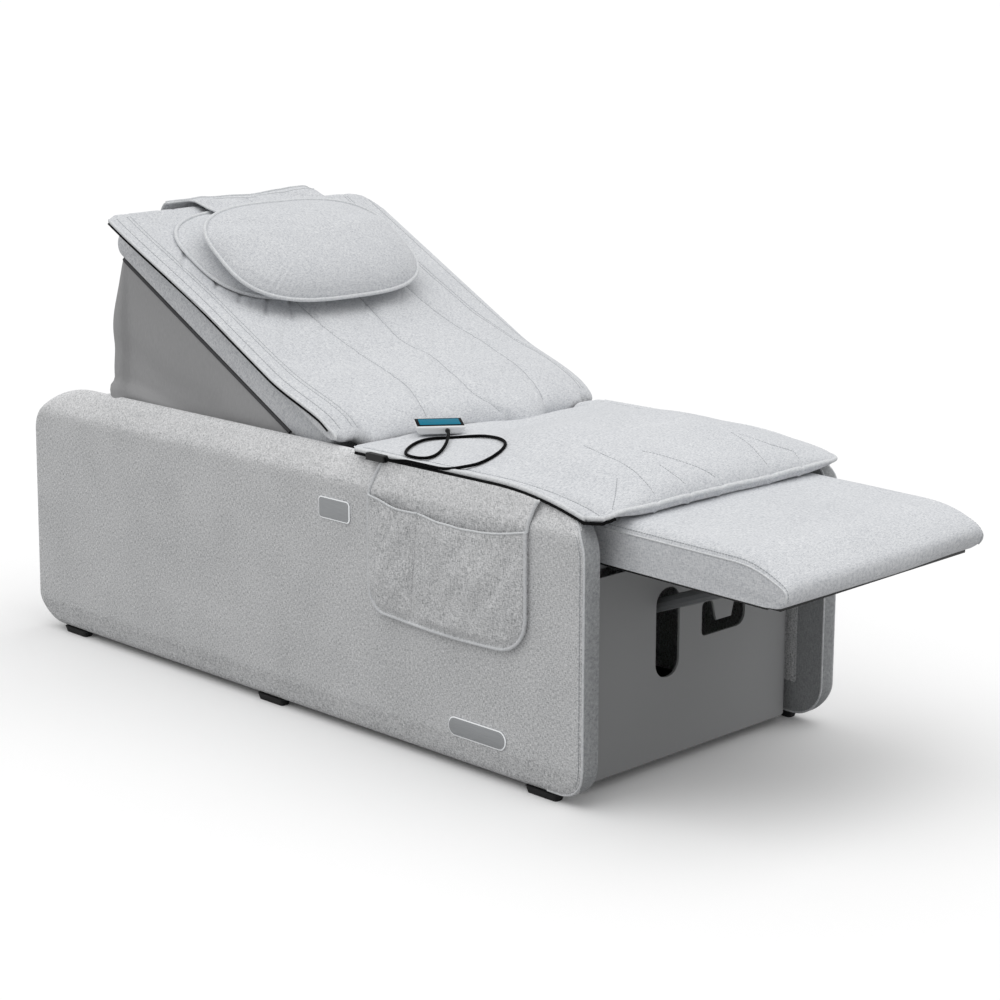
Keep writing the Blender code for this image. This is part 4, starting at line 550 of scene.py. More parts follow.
def ripple(u, v, size, seed):
    """A smooth irregular wave between about -1 and 1, for cloth that never lies quite flat."""
    total = 0.0
    for k in range(5):
        angle = 2.4 * (k + seed)
        pitch = size * (0.6 + 0.27 * ((k * 2 + seed) % 5))
        place = u * math.cos(angle) + v * math.sin(angle)
        total = total + np.sin(place * math.tau / pitch + 1.7 * k + seed)
    return total / 3.2


def groove(u, v, line, width):
    """How near points are to a sewn line in the cloth's own plane: 1 on it, fading over a width."""
    line = np.asarray(line, dtype=float)
    best = np.full(np.broadcast(u, v).shape, 9.0)
    for (ua, va), (ub, vb) in zip(line, line[1:]):
        du, dv = ub - ua, vb - va
        t = np.clip(((u - ua) * du + (v - va) * dv) / max(1e-12, du * du + dv * dv), 0, 1)
        best = np.minimum(best, np.hypot(u - ua - t * du, v - va - t * dv))
    return np.exp(-(best / width) ** 2)


def edge_round(inset, radius):
    """How far a rounded edge or corner draws back at a distance in from its outline."""
    return radius - math.sqrt(max(0.0, radius ** 2 - max(0.0, radius - inset) ** 2))


print("soft helpers ready")

# %% [markdown]
# Each side panel is a board wrapped in thin foam and cloth. Its outer face stands out from sloping margins
# along the top and the bottom, which catch more and less light than the middle. Its foot end carries piping
# and a row of stitches. The form is a loft of rounded outlines, each a little further in from the edge.

# %% Side panels
PANEL_BOTTOM, PANEL_MIDDLE = 0.014, 0.3
PANEL_MARGIN, PANEL_PILLOW, TOP_PILLOW = 0.056, 0.012, 0.026
PANEL_EDGE, INNER_EDGE = 0.012, 0.0015
LOW_CORNER, TOP_CORNER, REAR_CORNER = 0.070, 0.100, 0.170
REAR_LEAN = 0.017
TOP_FALL = 0.016


def panel_outline():
    """The panel's rounded outline in X and Z."""
    points = []
    corners = ((PANEL_REAR, PANEL_BOTTOM, LOW_CORNER, 180), (PANEL_FRONT, PANEL_BOTTOM, LOW_CORNER, 270),
               (PANEL_FRONT, PANEL_TOP, TOP_CORNER, 0), (PANEL_REAR, PANEL_TOP, TOP_CORNER, 90))
    for x, z, radius, start in corners:
        reach = REAR_CORNER if (x < 0 and z > 0.2) else radius
        centre_x = x + (reach if x < 0 else -reach)
        centre_z = z + (radius if z < 0.2 else -radius)
        for k in range(15):
            angle = math.radians(start + 90 * k / 14)
            points.append((centre_x + reach * math.cos(angle), centre_z + radius * math.sin(angle)))
    filled = []
    for (xa, za), (xb, zb) in zip(points, points[1:] + points[:1]):
        pieces = max(1, round(math.hypot(xb - xa, zb - za) / 0.030))
        filled += [(xa + (xb - xa) * k / pieces, za + (zb - za) * k / pieces) for k in range(pieces)]
    level = [(z - PANEL_BOTTOM) / (PANEL_TOP - PANEL_BOTTOM) for x, z in filled]
    return [(x - REAR_LEAN * (1.35 - t) * float(ease((-0.80 - x) / 0.15)), z)
            for (x, z), t in zip(filled, level)]


PANEL_OUTLINE = panel_outline()


def panel_face(z):
    """How far the outer face stands out of its margin at a height."""
    t = np.minimum(z - PANEL_BOTTOM, PANEL_TOP - z) / PANEL_MARGIN
    soft = 1 - (1.15 - t) ** 2 / 0.6
    depth = np.where(z > PANEL_MIDDLE, TOP_PILLOW, PANEL_PILLOW)
    return PANEL_PILLOW - depth * (1 - np.where(t < 0.85, t, np.where(t < 1.15, soft, 1.0)))


def panel_moved_in(inset):
    """The panel's outline moved in by a distance, point for point."""
    moved = []
    for x, z in PANEL_OUTLINE:
        rear, front = (REAR_CORNER, TOP_CORNER) if z > PANEL_MIDDLE else (LOW_CORNER, LOW_CORNER)
        cx = min(max(x, PANEL_REAR + rear), PANEL_FRONT - front)
        cz = min(max(z, PANEL_BOTTOM + LOW_CORNER), PANEL_TOP - TOP_CORNER)
        away = Vector((x - cx, z - cz))
        away = away.normalized() if away.length > 1e-9 else Vector((0, 0))
        moved.append((x - away.x * inset, z - away.y * inset))
    return moved


def panel_ring(inset, face, side):
    """One ring of the panel, on its outer or its inner face."""
    ring = []
    for (x, z), (_, whole_z) in zip(panel_moved_in(inset), PANEL_OUTLINE):
        if face == "outer":
            level = whole_z if inset < PANEL_EDGE else z
            y = HALF_WIDTH - PANEL_PILLOW + float(panel_face(level)) - edge_round(inset, PANEL_EDGE)
        else:
            y = INNER_HALF + edge_round(inset, INNER_EDGE)
            z = z - TOP_FALL * float(ease((z - 0.40) / 0.12)) * float(ease((0.60 - x) / 0.08))
        ring.append((x, side * y, z))
    return ring


INNER_INSETS = (0.0640, 0.0200, 0.0030, 0.0015, 0.0004, 0.0)
OUTER_INSETS = (0.0, 0.0004, 0.0014, 0.0030, 0.0060, 0.0120, 0.0200, 0.0300, 0.0400, 0.0470, 0.0520, 0.0560,
                0.0600, 0.0650)
for side_name, side in (("near", -1), ("far", 1)):
    rings = [panel_ring(inset, "inner", side) for inset in INNER_INSETS]
    rings += [panel_ring(inset, "outer", side) for inset in OUTER_INSETS]
    panel = loft(f"upholstered_panel_{side_name}", rings, FABRIC_SIDE, "base")
    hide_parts(f"side_panel_{side_name}")
    # Faces looking to the foot end, and inner faces near it, take the darker cloth: painted shade
    panel.data.materials.append(FABRIC_PAINTED_SHADE)
    for face in panel.data.polygons:
        inward = side * face.normal.y < -0.6
        face.material_index = int((face.normal.x > 0.6 or inward) and face.center.x > 0.52)
    rows = [[(x, y + side * 0.0002, z) for x, y, z in panel_ring(0.0040, "outer", side)],
            [(x, y + side * 0.0012, z) for x, y, z in panel_ring(0.0020, "inner", side)],
            [(x, y + side * 0.0004, z) for x, y, z in panel_ring(0.0105, "outer", side)]]
    rows = [[p for p in row if p[0] > PANEL_FRONT - 0.110] for row in rows]
    piping(f"panel_piping_{side_name}", rows[:1] if side < 0 else rows[:2], 0.0022, PIPING_PAINTED_HIGHLIGHT, "base")
    stitches(f"panel_stitches_{side_name}", rows[2:], (0, side, 0.2), "base")
    print(panel.name, len(panel.data.polygons), "faces")

# %% [markdown]
# Under the seat, each panel carries a wooden ledge for the seat deck, and at the head end a padded board
# closes the base. Both start as a cube at their size, with their edges bevelled as a joiner or an upholsterer
# would round them.

# %% Ledges and head panel
def bevelled_block(name, low, high, edge, steps, material, body):
    """A cube at its size and place with all its edges bevelled."""
    bpy.ops.object.select_all(action="DESELECT")
    middle = [(a + b) / 2 for a, b in zip(low, high)]
    bpy.ops.mesh.primitive_cube_add(size=1.0, location=middle)
    block = bpy.context.object
    block.name = name
    block.scale = [b - a for a, b in zip(low, high)]
    bpy.ops.object.transform_apply(location=True, rotation=True, scale=True)
    bpy.ops.object.mode_set(mode="EDIT")
    bpy.ops.mesh.select_all(action="SELECT")
    bpy.ops.mesh.bevel(offset=edge, segments=steps, affect="EDGES")
    bpy.ops.object.mode_set(mode="OBJECT")
    bpy.ops.object.shade_smooth_by_angle(angle=math.radians(35))
    block.data.materials.clear()
    block.data.materials.append(material)
    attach(block, body)
    return block


for side_name, side in (("near", -1), ("far", 1)):
    inside, outside = sorted((side * 0.300, side * 0.3198))
    bevelled_block(f"deck_ledge_{side_name}", (0.082, inside, 0.5177), (0.546, outside, 0.5425), 0.002, 2,
                   PLYWOOD_PAINTED_SHADE, "base")
head_low, head_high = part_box("head_panel")
head_board = bevelled_block("upholstered_head_panel", head_low, head_high, 0.009, 5, FABRIC_SIDE, "base")
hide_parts("head_panel")
print("head panel", [round(v, 3) for v in head_high])

# %% [markdown]
# The seat mat is a quilted topper: a thin sewn edge with piping, a soft crown, and a front that falls over
# the seat like a waterfall to a piped seam with a narrow band of cloth below it. Its rings run from side to
# side. The sewn lines near the front are pressed into its upper face. A black strip along its near underside
# is painted shadow, for the dark gap under its edge.

# %% Seat mat
LIP_MIDDLE = SEAT_BOTTOM - 0.021
FRONT_ROUND_START = 0.408
NEAR_CORNER, FAR_CORNER = 0.036, 0.055
SEAT_LINES = (
    ((0.470, -0.176), (0.537, -0.183), (0.600, -0.186), (0.638, -0.194), (0.668, -0.200)),
    ((0.560, -0.120), (0.622, -0.071), (0.667, -0.027)),
    ((0.560, 0.128), (0.598, 0.123), (0.642, 0.114), (0.668, 0.116)),
    ((0.570, 0.140), (0.616, 0.173), (0.640, 0.216), (0.668, 0.206)),
    ((0.599, -0.228), (0.632, -0.268), (0.660, -0.307)),
    ((0.610, -0.130), (0.640, -0.126), (0.668, -0.112)))


def seat_upper(x, y, front):
    """The mat's upper face with its waterfall front and its sewn lines, for an array of x at one y."""
    inset = MAT_HALF - abs(y)
    t = np.clip((x - FRONT_ROUND_START) / (front - FRONT_ROUND_START), 0, 1)
    band, fall = (0.018, 0.001) if y > 0 else (0.034, 0.007)
    power = 0.5 + 0.5 * (1 - float(ease(inset / band)))
    lip = LIP_MIDDLE - fall * (1 - float(ease(inset / 0.05)))
    z = lip + (seat_top(x, y) - lip) * (1 - t * t) ** power
    level = np.ones_like(x) * y
    for line in SEAT_LINES:
        z = z - 0.0024 * groove(x, level, line, 0.0040) * float(ease(inset / 0.02))
    z = z - 0.0016 * math.exp(-((inset - 0.0150) / 0.0026) ** 2)
    pucker = np.sin(x * 900 + 3 * np.sin(x * 70)) * math.exp(-((inset - 0.024) / 0.009) ** 2)
    wave = ripple(x, level, 0.16, 3) * float(ease((inset - 0.02) / 0.08)) * ease((x - 0.06) / 0.08)
    return z + 0.0004 * pucker + 0.0012 * wave


stations = [0.0, 0.0015, 0.004, 0.007, 0.0105, 0.013, 0.015, 0.017, 0.020, 0.025, 0.031, 0.038, 0.045]
while stations[-1] < MAT_HALF - 0.004:
    stations.append(stations[-1] + 0.0042)
across = [-(MAT_HALF - s) for s in stations] + [0.0] + [MAT_HALF - s for s in reversed(stations)]
rings, front_edge = [], []
for y in across:
    inset = MAT_HALF - abs(y)
    front = SEAT_FRONT - edge_round(inset, NEAR_CORNER if y < 0 else FAR_CORNER)
    rear = SEAT_REAR + edge_round(inset, 0.020)
    k = np.arange(150) / 149
    x_top = rear + (front - rear) * np.sin(k * math.pi / 2)
    z_top = seat_upper(x_top, y, front)
    lip_middle = z_top[-1]
    lip_low = lip_middle - 0.0080 - 0.0075 * float(ease((inset - 0.01) / 0.12))
    x_under = np.linspace(front - 0.036, rear + 0.003, 40)
    sunk = SEAT_BOTTOM - float(seat_sink(y)) * (x_under < 0.079)
    z_under = np.minimum(sunk, np.interp(x_under, x_top, z_top) - 0.0060)
    lip_x = [front - 0.0005, front - 0.003, front - 0.006, front - 0.012, front - 0.032]
    lip_z = [lip_middle - 0.003, lip_low + 0.0025, lip_low + 0.0004, lip_low, lip_low]
    ring_x = np.concatenate([x_top, lip_x, x_under])
    ring_z = np.concatenate([z_top, lip_z, z_under])
    rings.append(np.stack([ring_x, np.full_like(ring_x, y), ring_z], axis=1))
    front_edge.append((front + 0.0006, y, z_top[-1] + 0.0002))
seat_mat = loft("quilted_seat_mat", rings, FABRIC, "base", sharp=70)
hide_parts("seat_mat")
sides = []
for y in (across[0], across[-1]):
    corner_from = SEAT_FRONT - (NEAR_CORNER if y < 0 else FAR_CORNER)
    x = np.linspace(SEAT_REAR + 0.020, corner_from, 80)
    z = seat_upper(x, y, corner_from) - 0.0028
    sides.append([(float(a), y + math.copysign(0.0008, y), float(b)) for a, b in zip(x, z)])
rim = sides[0] + front_edge + sides[1][::-1]
piping("seat_mat_piping", [rim], 0.0044, PIPING_PAINTED_HIGHLIGHT, "base")
# Painted shadow: a black strip just under the seat mat's near edge, for the dark gap below it
shadow_line = [(x, y - 0.0020, z - 0.0062) for x, y, z in sides[0]]
shadow_line += [(x - 0.0010, y - 0.0010, z - 0.0090) for x, y, z in front_edge[1:12]]
piping("seat_mat_painted_shadow_line", [shadow_line], 0.0030, SHADOW_LINE_STRIP, "base")
seam_rows = []
for y in (-(MAT_HALF - 0.015), MAT_HALF - 0.015):
    front = SEAT_FRONT - edge_round(0.015, NEAR_CORNER if y < 0 else FAR_CORNER)
    x = np.linspace(SEAT_REAR + 0.02, front - 0.003, 90)
    z = seat_upper(x, y, front)
    seam_rows.append([(float(a), y, float(b) + 0.0002) for a, b in zip(x, z)])
for line in SEAT_LINES:
    points = even_points([(x, y, 0.0) for x, y in line], 0.010)
    seam_rows.append([(float(x), float(y), float(seat_upper(np.array([x]), float(y), SEAT_FRONT)[0]) + 0.0003)
                      for x, y, _ in points if x < SEAT_FRONT - 0.006])
stitches("seat_mat_stitches", seam_rows, (0, 0, 1), "base")
print(seat_mat.name, len(seat_mat.data.polygons), "faces")

# %% [markdown]
# The backrest's pieces are easier to shape lying along their own slope: s runs from the hinge to the head and
# n stands off the deck. One function turns such a place into the room's metres.

# %% Backrest frame and side boards
BACK_HINGE = Vector((-0.103, 0.0, 0.490))
BACK_S = Vector((-math.cos(BACK_ANGLE), 0, math.sin(BACK_ANGLE)))
BACK_N = Vector((math.sin(BACK_ANGLE), 0, math.cos(BACK_ANGLE)))
DECK_TOP, DECK_LENGTH = 0.073, 0.765
BOARD_UNDER, BOARD_RIM = 0.0145, 0.0855
FOOT_RADIUS, HEAD_RADIUS = 0.008, 0.026


def on_back(s, y, n):
    """Arrays of places along the backrest in the room's metres."""
    s, y, n = np.broadcast_arrays(np.asarray(s, float), np.asarray(y, float), np.asarray(n, float))
    flat = np.stack([s.ravel(), n.ravel()], axis=1)
    room = flat[:, :1] * np.array(BACK_S) + flat[:, 1:] * np.array(BACK_N) + np.array(BACK_HINGE)
    room[:, 1] = y.ravel()
    return room


def rounded_profile(s_low, s_high, n_low, n_high, foot_radius, head_radius, steps=8):
    """A side board's outline in s and n, with a rounded head end."""
    points = []
    for s, n, radius, start in ((s_high, n_low, head_radius, 270), (s_high, n_high, head_radius, 0),
                                (s_low, n_high, foot_radius, 90), (s_low, n_low, foot_radius, 180)):
        cs = s - radius if s == s_high else s + radius
        cn = n + radius if n == n_low else n - radius
        for k in range(steps + 1):
            angle = math.radians(start + 90 * k / steps)
            points.append((cs + radius * math.cos(angle), cn + radius * math.sin(angle)))
    return points


for side_name, side in (("near", -1), ("far", 1)):
    rings = []
    rim_from = 0.287 if side < 0 else 0.295
    sections = ((0.110, 0.004), (0.111, 0.0), (rim_from - 0.004, 0.0), (rim_from, 0.0), (0.301, 0.0),
                (0.3045, 0.0010), (0.3075, 0.0034), (0.3095, 0.0070))
    for y, shrink in sections:
        top = BOARD_RIM if y >= rim_from else DECK_TOP
        outline = np.array(rounded_profile(shrink, DECK_LENGTH - shrink, BOARD_UNDER + shrink, top - shrink,
                                           FOOT_RADIUS, HEAD_RADIUS))
        rings.append(on_back(outline[:, 0], side * y, outline[:, 1]))
    board = loft(f"padded_side_board_{side_name}", rings, FABRIC_BACK, "backrest", sharp=55)
    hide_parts(f"backrest_side_{side_name}")
print("side boards ready")

# %% [markdown]
# The back mat is quilted in four long channels between sewn seams, with fainter diagonal lines across them,
# flat sewn borders along both sides, and a foot end that rolls over towards the seat, drawn in at each seam.

# %% Back mat
MAT_SHIFT = 0.012
MAT_FLANGE_LIFT = 0.0195
BACK_BOTTOM = DECK_TOP + 0.0003
BACK_HEAD = DECK_LENGTH
CHANNELS = (-0.116, 0.032, 0.188)
BORDERS = (-0.302, 0.286)
BORDER_ROWS = (-0.004, 0.004)
EDGE_ROW = 0.0135
QUILT_PITCH, QUILT_SLANT = 0.102, 0.92
ROLL_REACH = 0.055
# The routes of the three long seams and the far border: distance from the hinge, place across the bench
SEAM_ROUTES = (
    ((-0.060, -0.128), (-0.012, -0.122), (0.049, -0.101), (0.145, -0.091), (0.383, -0.112), (0.760, -0.104)),
    ((-0.110, 0.080), (-0.065, 0.055), (-0.010, 0.021), (0.074, 0.037), (0.158, 0.062), (0.225, 0.036),
     (0.369, 0.054), (0.760, 0.045)),
    ((-0.056, 0.192), (-0.004, 0.209), (0.083, 0.224), (0.182, 0.236), (0.244, 0.220), (0.351, 0.202),
     (0.760, 0.205)),
    ((-0.040, 0.334), (0.127, 0.336), (0.280, 0.305), (0.438, 0.296), (0.760, 0.292)))
# Short creases below the pillow and in the middle, in the mat's own places
CREASES = (
    ((0.413, -0.184), (0.330, -0.281)), ((0.303, -0.229), (0.243, -0.285)),
    ((0.292, -0.172), (0.225, -0.240)),
    ((0.172, 0.060), (0.138, 0.103)), ((0.079, 0.041), (0.035, 0.075)), ((0.330, 0.080), (0.280, 0.098)))
# Puckers that come out from under the lower pillow's near edge
PUCKERS = (
    ((0.640, -0.235), (0.565, -0.297)), ((0.560, -0.215), (0.478, -0.277)),
    ((0.500, -0.190), (0.425, -0.256)),
    ((0.455, -0.160), (0.373, -0.221)), ((0.425, -0.120), (0.346, -0.173)))


def back_plain(s, y):
    """Height of the back mat's upper face off the deck, before its seams."""
    swell = 0.028 + (0.004 - 0.028) * ease(s / 0.340)
    edge = 0.050 + (0.030 - 0.050) * ease(s / 0.200)
    return BACK_BOTTOM + edge + swell * np.maximum(0.0, 1 - np.abs(y / MAT_HALF) ** 2.6)


def mat_straight(s, y):
    """A line of the mat without its wander: laid a little askew and wider on its far side."""
    skew = 0.018 * ease((np.asarray(s) - 0.40) / 0.36) * (MAT_HALF - y) / (2 * MAT_HALF)
    return y * (1.026 if y > 0 else 1.0) + MAT_SHIFT - skew


def smoothed(line, reach):
    """A running mean over a line of values, with its ends held."""
    window = 2 * reach + 1
    return np.convolve(np.pad(line, reach, mode="edge"), np.ones(window) / window, mode="valid")


SEAM_KNOTS = (-MAT_HALF, BORDERS[0], *CHANNELS, BORDERS[1], MAT_HALF)
route_s = np.linspace(-0.16, 0.82, 500)
wander = []
for route, knot in zip(SEAM_ROUTES, (*CHANNELS, BORDERS[1])):
    line = np.interp(route_s, [p[0] for p in route], [p[1] for p in route]) - mat_straight(route_s, knot)
    wander.append(smoothed(line, 12))


def mat_place(s, y):
    """Where a line of the mat lies across the backrest: it wanders with the nearest sewn seams."""
    place = mat_straight(s, y)
    for k, line in enumerate(wander):
        share = np.interp(y, SEAM_KNOTS, np.arange(len(SEAM_KNOTS)) == k + 2)
        place = place + share * np.interp(s, route_s, line)
    return place


def back_dip(s, y):
    """How deep the channels, borders and quilting lines press into the mat."""
    dip = np.zeros_like(s)
    for line in CHANNELS:
        away = np.abs(y - line)
        dip = dip + 0.0030 * np.exp(-(away / 0.013) ** 2) + 0.0022 * np.exp(-(away / 0.0030) ** 2)
    for line in BORDERS:
        for offset in BORDER_ROWS:
            dip = dip + 0.0016 * np.exp(-((y - line - offset) / 0.0022) ** 2)
    inside = ease((0.275 - np.abs(y)) / 0.02)
    for slope in (1.0, -1.0):
        phase = (s * QUILT_SLANT + slope * y) / QUILT_PITCH
        away = np.abs(phase - np.round(phase)) * QUILT_PITCH
        dip = dip + 0.0014 * np.exp(-(away / 0.0040) ** 2) * inside
    for line in CREASES:
        dip = dip + 0.0014 * groove(s, y, line, 0.0040)
    for line in PUCKERS:
        dip = dip + 0.0042 * groove(s, y, line, 0.0046)
    inset = MAT_HALF - np.abs(y)
    dip = dip + 0.0045 * (1 - ease(inset / 0.018)) + 0.0014 * np.exp(-((inset - EDGE_ROW) / 0.0024) ** 2)
    return dip


SEWN_ROWS = (*CHANNELS, *(line + offset for line in BORDERS for offset in BORDER_ROWS),
             EDGE_ROW - MAT_HALF, MAT_HALF - EDGE_ROW)
marks = [0.0, 0.0015, 0.004, 0.008, 0.0110, 0.016, 0.020, 0.027, 0.035]
while marks[-1] < MAT_HALF - 0.0035:
    marks.append(marks[-1] + 0.0036)
columns = [-(MAT_HALF - m) for m in marks] + [MAT_HALF - m for m in marks]
columns = [y for y in columns if min(abs(y - row) for row in SEWN_ROWS) > 0.0032]
columns += [row + k * 0.0020 for row in SEWN_ROWS for k in (-1, 0, 1)]
ROLL_FROM = BACK_BOTTOM + 0.028 + 0.0075
rings, edge_lines, sewn = [], [], []
for y in sorted(columns):
    inset = MAT_HALF - abs(y)
    corner = float(ease((0.066 - inset) / 0.030))
    overhang = 0.053 - edge_round(inset, 0.024) if y > 0.27 else 0.070 - 0.034 * corner * (y < 0)
    overhang += 0.040 * math.exp(-((y - 0.09) / 0.085) ** 2)
    channel = max(math.exp(-((y - line) / 0.013) ** 2) for line in CHANNELS)
    drawn = 0.006 * (1 - float(ease(inset / 0.018)))
    foot = 0.007 * channel + 2 * drawn - overhang
    head = BACK_HEAD - drawn - (edge_round(inset, 0.050) if y > 0 else 0.0)
    low = BACK_BOTTOM + MAT_FLANGE_LIFT * float(ease((0.086 - inset) / 0.010))
    angle = np.radians(np.linspace(0, 85, 14))
    start = foot + ROLL_REACH
    roll_top = float(back_plain(np.array([start]), y)[0]) - ROLL_FROM
    s_roll = foot + ROLL_REACH * (1 - np.cos(angle))
    n_roll = ROLL_FROM + roll_top * np.sin(angle)
    s_top = np.linspace(start, head - 0.006, 214)
    s_all = np.concatenate([s_roll, s_top])
    n_all = np.concatenate([n_roll, back_plain(s_top, y)])
    level = np.full_like(s_all, y)
    n_all = n_all - back_dip(s_all, level) * ease((s_all - foot) / 0.03)
    n_all = n_all + 0.0013 * ripple(s_all, level, 0.13, 1) * float(ease((inset - 0.03) / 0.05))
    s_under = np.linspace(head - 0.012, 0.030, 24)
    s_ring = np.concatenate([[0.012, foot + 0.012, foot + 0.003], s_all,
                             [head - 0.001, head, head - 0.002], s_under])
    n_ring = np.concatenate([[low, BACK_BOTTOM + 0.022, BACK_BOTTOM + 0.030], n_all,
                             [n_all[-1] - 0.002, n_all[-1] - 0.004, n_all[-1] - 0.006], np.full(24, low)])
    rings.append(on_back(s_ring, mat_place(s_ring, y), n_ring))
    if inset < 1e-6:
        edge_lines.append(list(on_back(s_all, mat_place(s_all, y) + math.copysign(0.0008, y), n_all - 0.003)))
    if min(abs(y - row) for row in SEWN_ROWS) < 1e-6:
        kept = slice(8, -2)
        sewn.append(on_back(s_all[kept], mat_place(s_all[kept], y), n_all[kept] + 0.0002))
back_mat = loft("quilted_back_mat", rings, FABRIC_BACK, "backrest", sharp=75)
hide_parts("back_mat")
piping("back_mat_piping", edge_lines, 0.0033, PIPING_PAINTED_HIGHLIGHT, "backrest")
# Painted shadow: a black strip just under the back mat's near edge, for the dark gap below it
shadow_line = [np.array(place) - 0.0062 * np.array(BACK_N) for place in edge_lines[0]]
piping("back_mat_painted_shadow_line", [shadow_line[9:]], 0.0025, SHADOW_LINE_STRIP, "backrest")
stitches("back_mat_stitches", sewn, BACK_N, "backrest")
print(back_mat.name, len(back_mat.data.polygons), "faces")

# %% [markdown]
# Two pillows lie on the head end: a thin one on the mat and a fuller one leaning on it. Each is two shaped
# pieces of cloth sewn together at a piped rim, so its rings shrink from the rim to the middle on both faces,
# and the rim's gathers are small waves that fade inwards.

# %% Pillows
PILLOW_HALF_WIDTH, DIMPLE = 0.248, 0.0010


def pillow_crown(share, height, power, flatter=0.0):
    """How far a pillow's face stands off its rim, by the share of the way from its middle."""
    full = np.maximum(0.0, 1 - share ** 3.4) ** power
    flat = np.maximum(0.0, 1 - share ** 2) ** 1.05
    return height * (full + (flat - full) * flatter)


def sewn_pillow(name, node, centre, half_length, half_width, middle, rim, up, down, lean, gather):
    """A pillow from rings of a squarish outline, with a gathered and piped rim."""
    turns = 360
    angle = math.tau * np.arange(turns) / turns
    c, s = np.cos(angle), np.sin(angle)
    power = 2 / 3.0
    side_y = np.sign(s) * np.abs(s) ** power * half_width
    side_s = np.sign(c) * np.abs(c) ** power * half_length
    gathers = np.sin(angle * 71 + 2.6 * np.sin(angle * 7)) * (0.5 + 0.5 * np.sin(angle * 5 + 0.6))
    foot_side = ease((-c - 0.25) / 0.5)
    head_side = 0.8 * ease((c - 0.05) / 0.5)

    def ring(share, height, sign):
        pull = gather * gathers * foot_side * share ** 9 * (1 - share ** 30) * sign
        welt = 0.0014 * math.exp(-((share - 0.960) / 0.012) ** 2) * np.sign(sign)
        n = rim + height + side_s * share * math.tan(lean) + pull - welt
        return on_back(centre + side_s * share, middle + side_y * share, n)

    shares = np.sin(np.linspace(0.03, 1.0, 26) * math.pi / 2)
    rings = [ring(k, -float(pillow_crown(k, down, 1.0)), -0.5) for k in shares[:-1]]
    rings.append(ring(1.0, 0.0, 0.0))
    rings += [ring(k, pillow_crown(k, up, 0.62, head_side) - DIMPLE * (1 - k), 1.0) for k in shares[-2::-1]]
    made = loft(name, rings, FABRIC_BACK, "backrest", sharp=75)
    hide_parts(node)
    rim_line = [tuple(p) for p in ring(1.012, 0.0, 0.0)]
    piping(name + "_piping", [rim_line + rim_line[:1]], 0.0043, PIPING_PAINTED_HIGHLIGHT, "backrest")
    print(name, len(made.data.polygons), "faces")
    return made


lower_rim = float(back_plain(np.array([0.765]), 0.0)[0]) + 0.0043
sewn_pillow("lower_head_pillow", "lower_pillow", centre=0.567, half_length=0.163,
            half_width=PILLOW_HALF_WIDTH + 0.007, middle=-0.007, rim=lower_rim, up=0.030, down=0.004,
            lean=0.0, gather=0.0010)
LEAN = math.radians(7.0)
upper_rim = 0.0
for k in range(-20, 21):
    along = 0.164 * k / 20
    lower_share = abs(0.500 + along - 0.567) / 0.166
    floor_n = lower_rim + float(pillow_crown(min(1.0, lower_share), 0.030, 0.75))
    under = along * math.tan(LEAN) - float(pillow_crown(abs(k) / 20, 0.016, 1.0))
    upper_rim = max(upper_rim, floor_n - under + 0.0003)
sewn_pillow("upper_head_pillow", "upper_pillow", centre=0.505, half_length=0.149,
            half_width=PILLOW_HALF_WIDTH - 0.003, middle=-0.009, rim=upper_rim, up=0.048, down=0.016,
            lean=LEAN, gather=0.0022)

# %% [markdown]
# The upper pillow hangs on a flap that goes over the head end and falls behind it. It is a strip of doubled
# cloth, so it is a bent sheet with a little thickness, piped along its two ends and its fold.

# %% Pillow flap
def cloth_sheet(name, grid, thick, material, body):
    """A sheet from a grid of points, thickened with Solidify."""
    grid = np.asarray(grid, dtype=float)
    rows, columns = grid.shape[:2]
    faces = [(r * columns + c, r * columns + c + 1, (r + 1) * columns + c + 1, (r + 1) * columns + c)
             for r in range(rows - 1) for c in range(columns - 1)]
    made = mesh_piece(name, grid.reshape(-1, 3), faces, material, body, 60)
    bpy.ops.object.select_all(action="DESELECT")
    made.select_set(True)
    bpy.context.view_layer.objects.active = made
    wall = made.modifiers.new("cloth_thickness", "SOLIDIFY")
    wall.thickness = thick
    wall.offset = 0.0
    bpy.ops.object.modifier_apply(modifier=wall.name)
    return made


FLAP_NEAR, FLAP_FAR, FLAP_LENGTH = -0.194, 0.213, 0.230
# The flap's course over the head end: distance from the hinge, height off the deck
flap_path = np.array([
    (0.655, 0.1380), (0.700, 0.1270), (0.735, 0.1210), (0.757, 0.1195), (0.773, 0.1165), (0.781, 0.1090),
    (0.7845, 0.0980), (0.785, 0.0850), (0.785, 0.0650), (0.785, 0.0420)])
marks = np.linspace(0, len(flap_path) - 1, 200)
flap_line = np.stack([np.interp(marks, range(len(flap_path)), flap_path[:, i]) for i in (0, 1)], axis=1)
flap_line = np.stack([smoothed(flap_line[:, i], 12) for i in (0, 1)], axis=1)
flap_grid = []
for y in np.linspace(FLAP_NEAR, FLAP_FAR, 72):
    begin = 96 * float(ease((-0.096 - y) / 0.050))
    picks = begin + (199 - begin) * np.linspace(0, 1, 46)
    s, n = (np.interp(picks, range(200), flap_line[:, i]) for i in (0, 1))
    rise = 0.004 - 0.006 * float(ease((-y - 0.10) / 0.05)) - 0.014 * (1 - float(ease((FLAP_FAR - y) / 0.040)))
    rise += 0.006 * float(ease((y - 0.10) / 0.05)) - 0.005 * float(ease((0.11 - abs(y)) / 0.06))
    n = n + rise * np.clip(1 - np.abs(picks - 90) / 80, 0, 1) + 0.0012 * np.sin(y * 52 + picks * 0.1)
    flap_grid.append(on_back(s, y, n))
flap = cloth_sheet("pillow_flap_cloth", flap_grid, 0.0042, FABRIC_BACK, "backrest")
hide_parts("pillow_flap")
flap_rim = [row[0] for row in flap_grid[:30]]
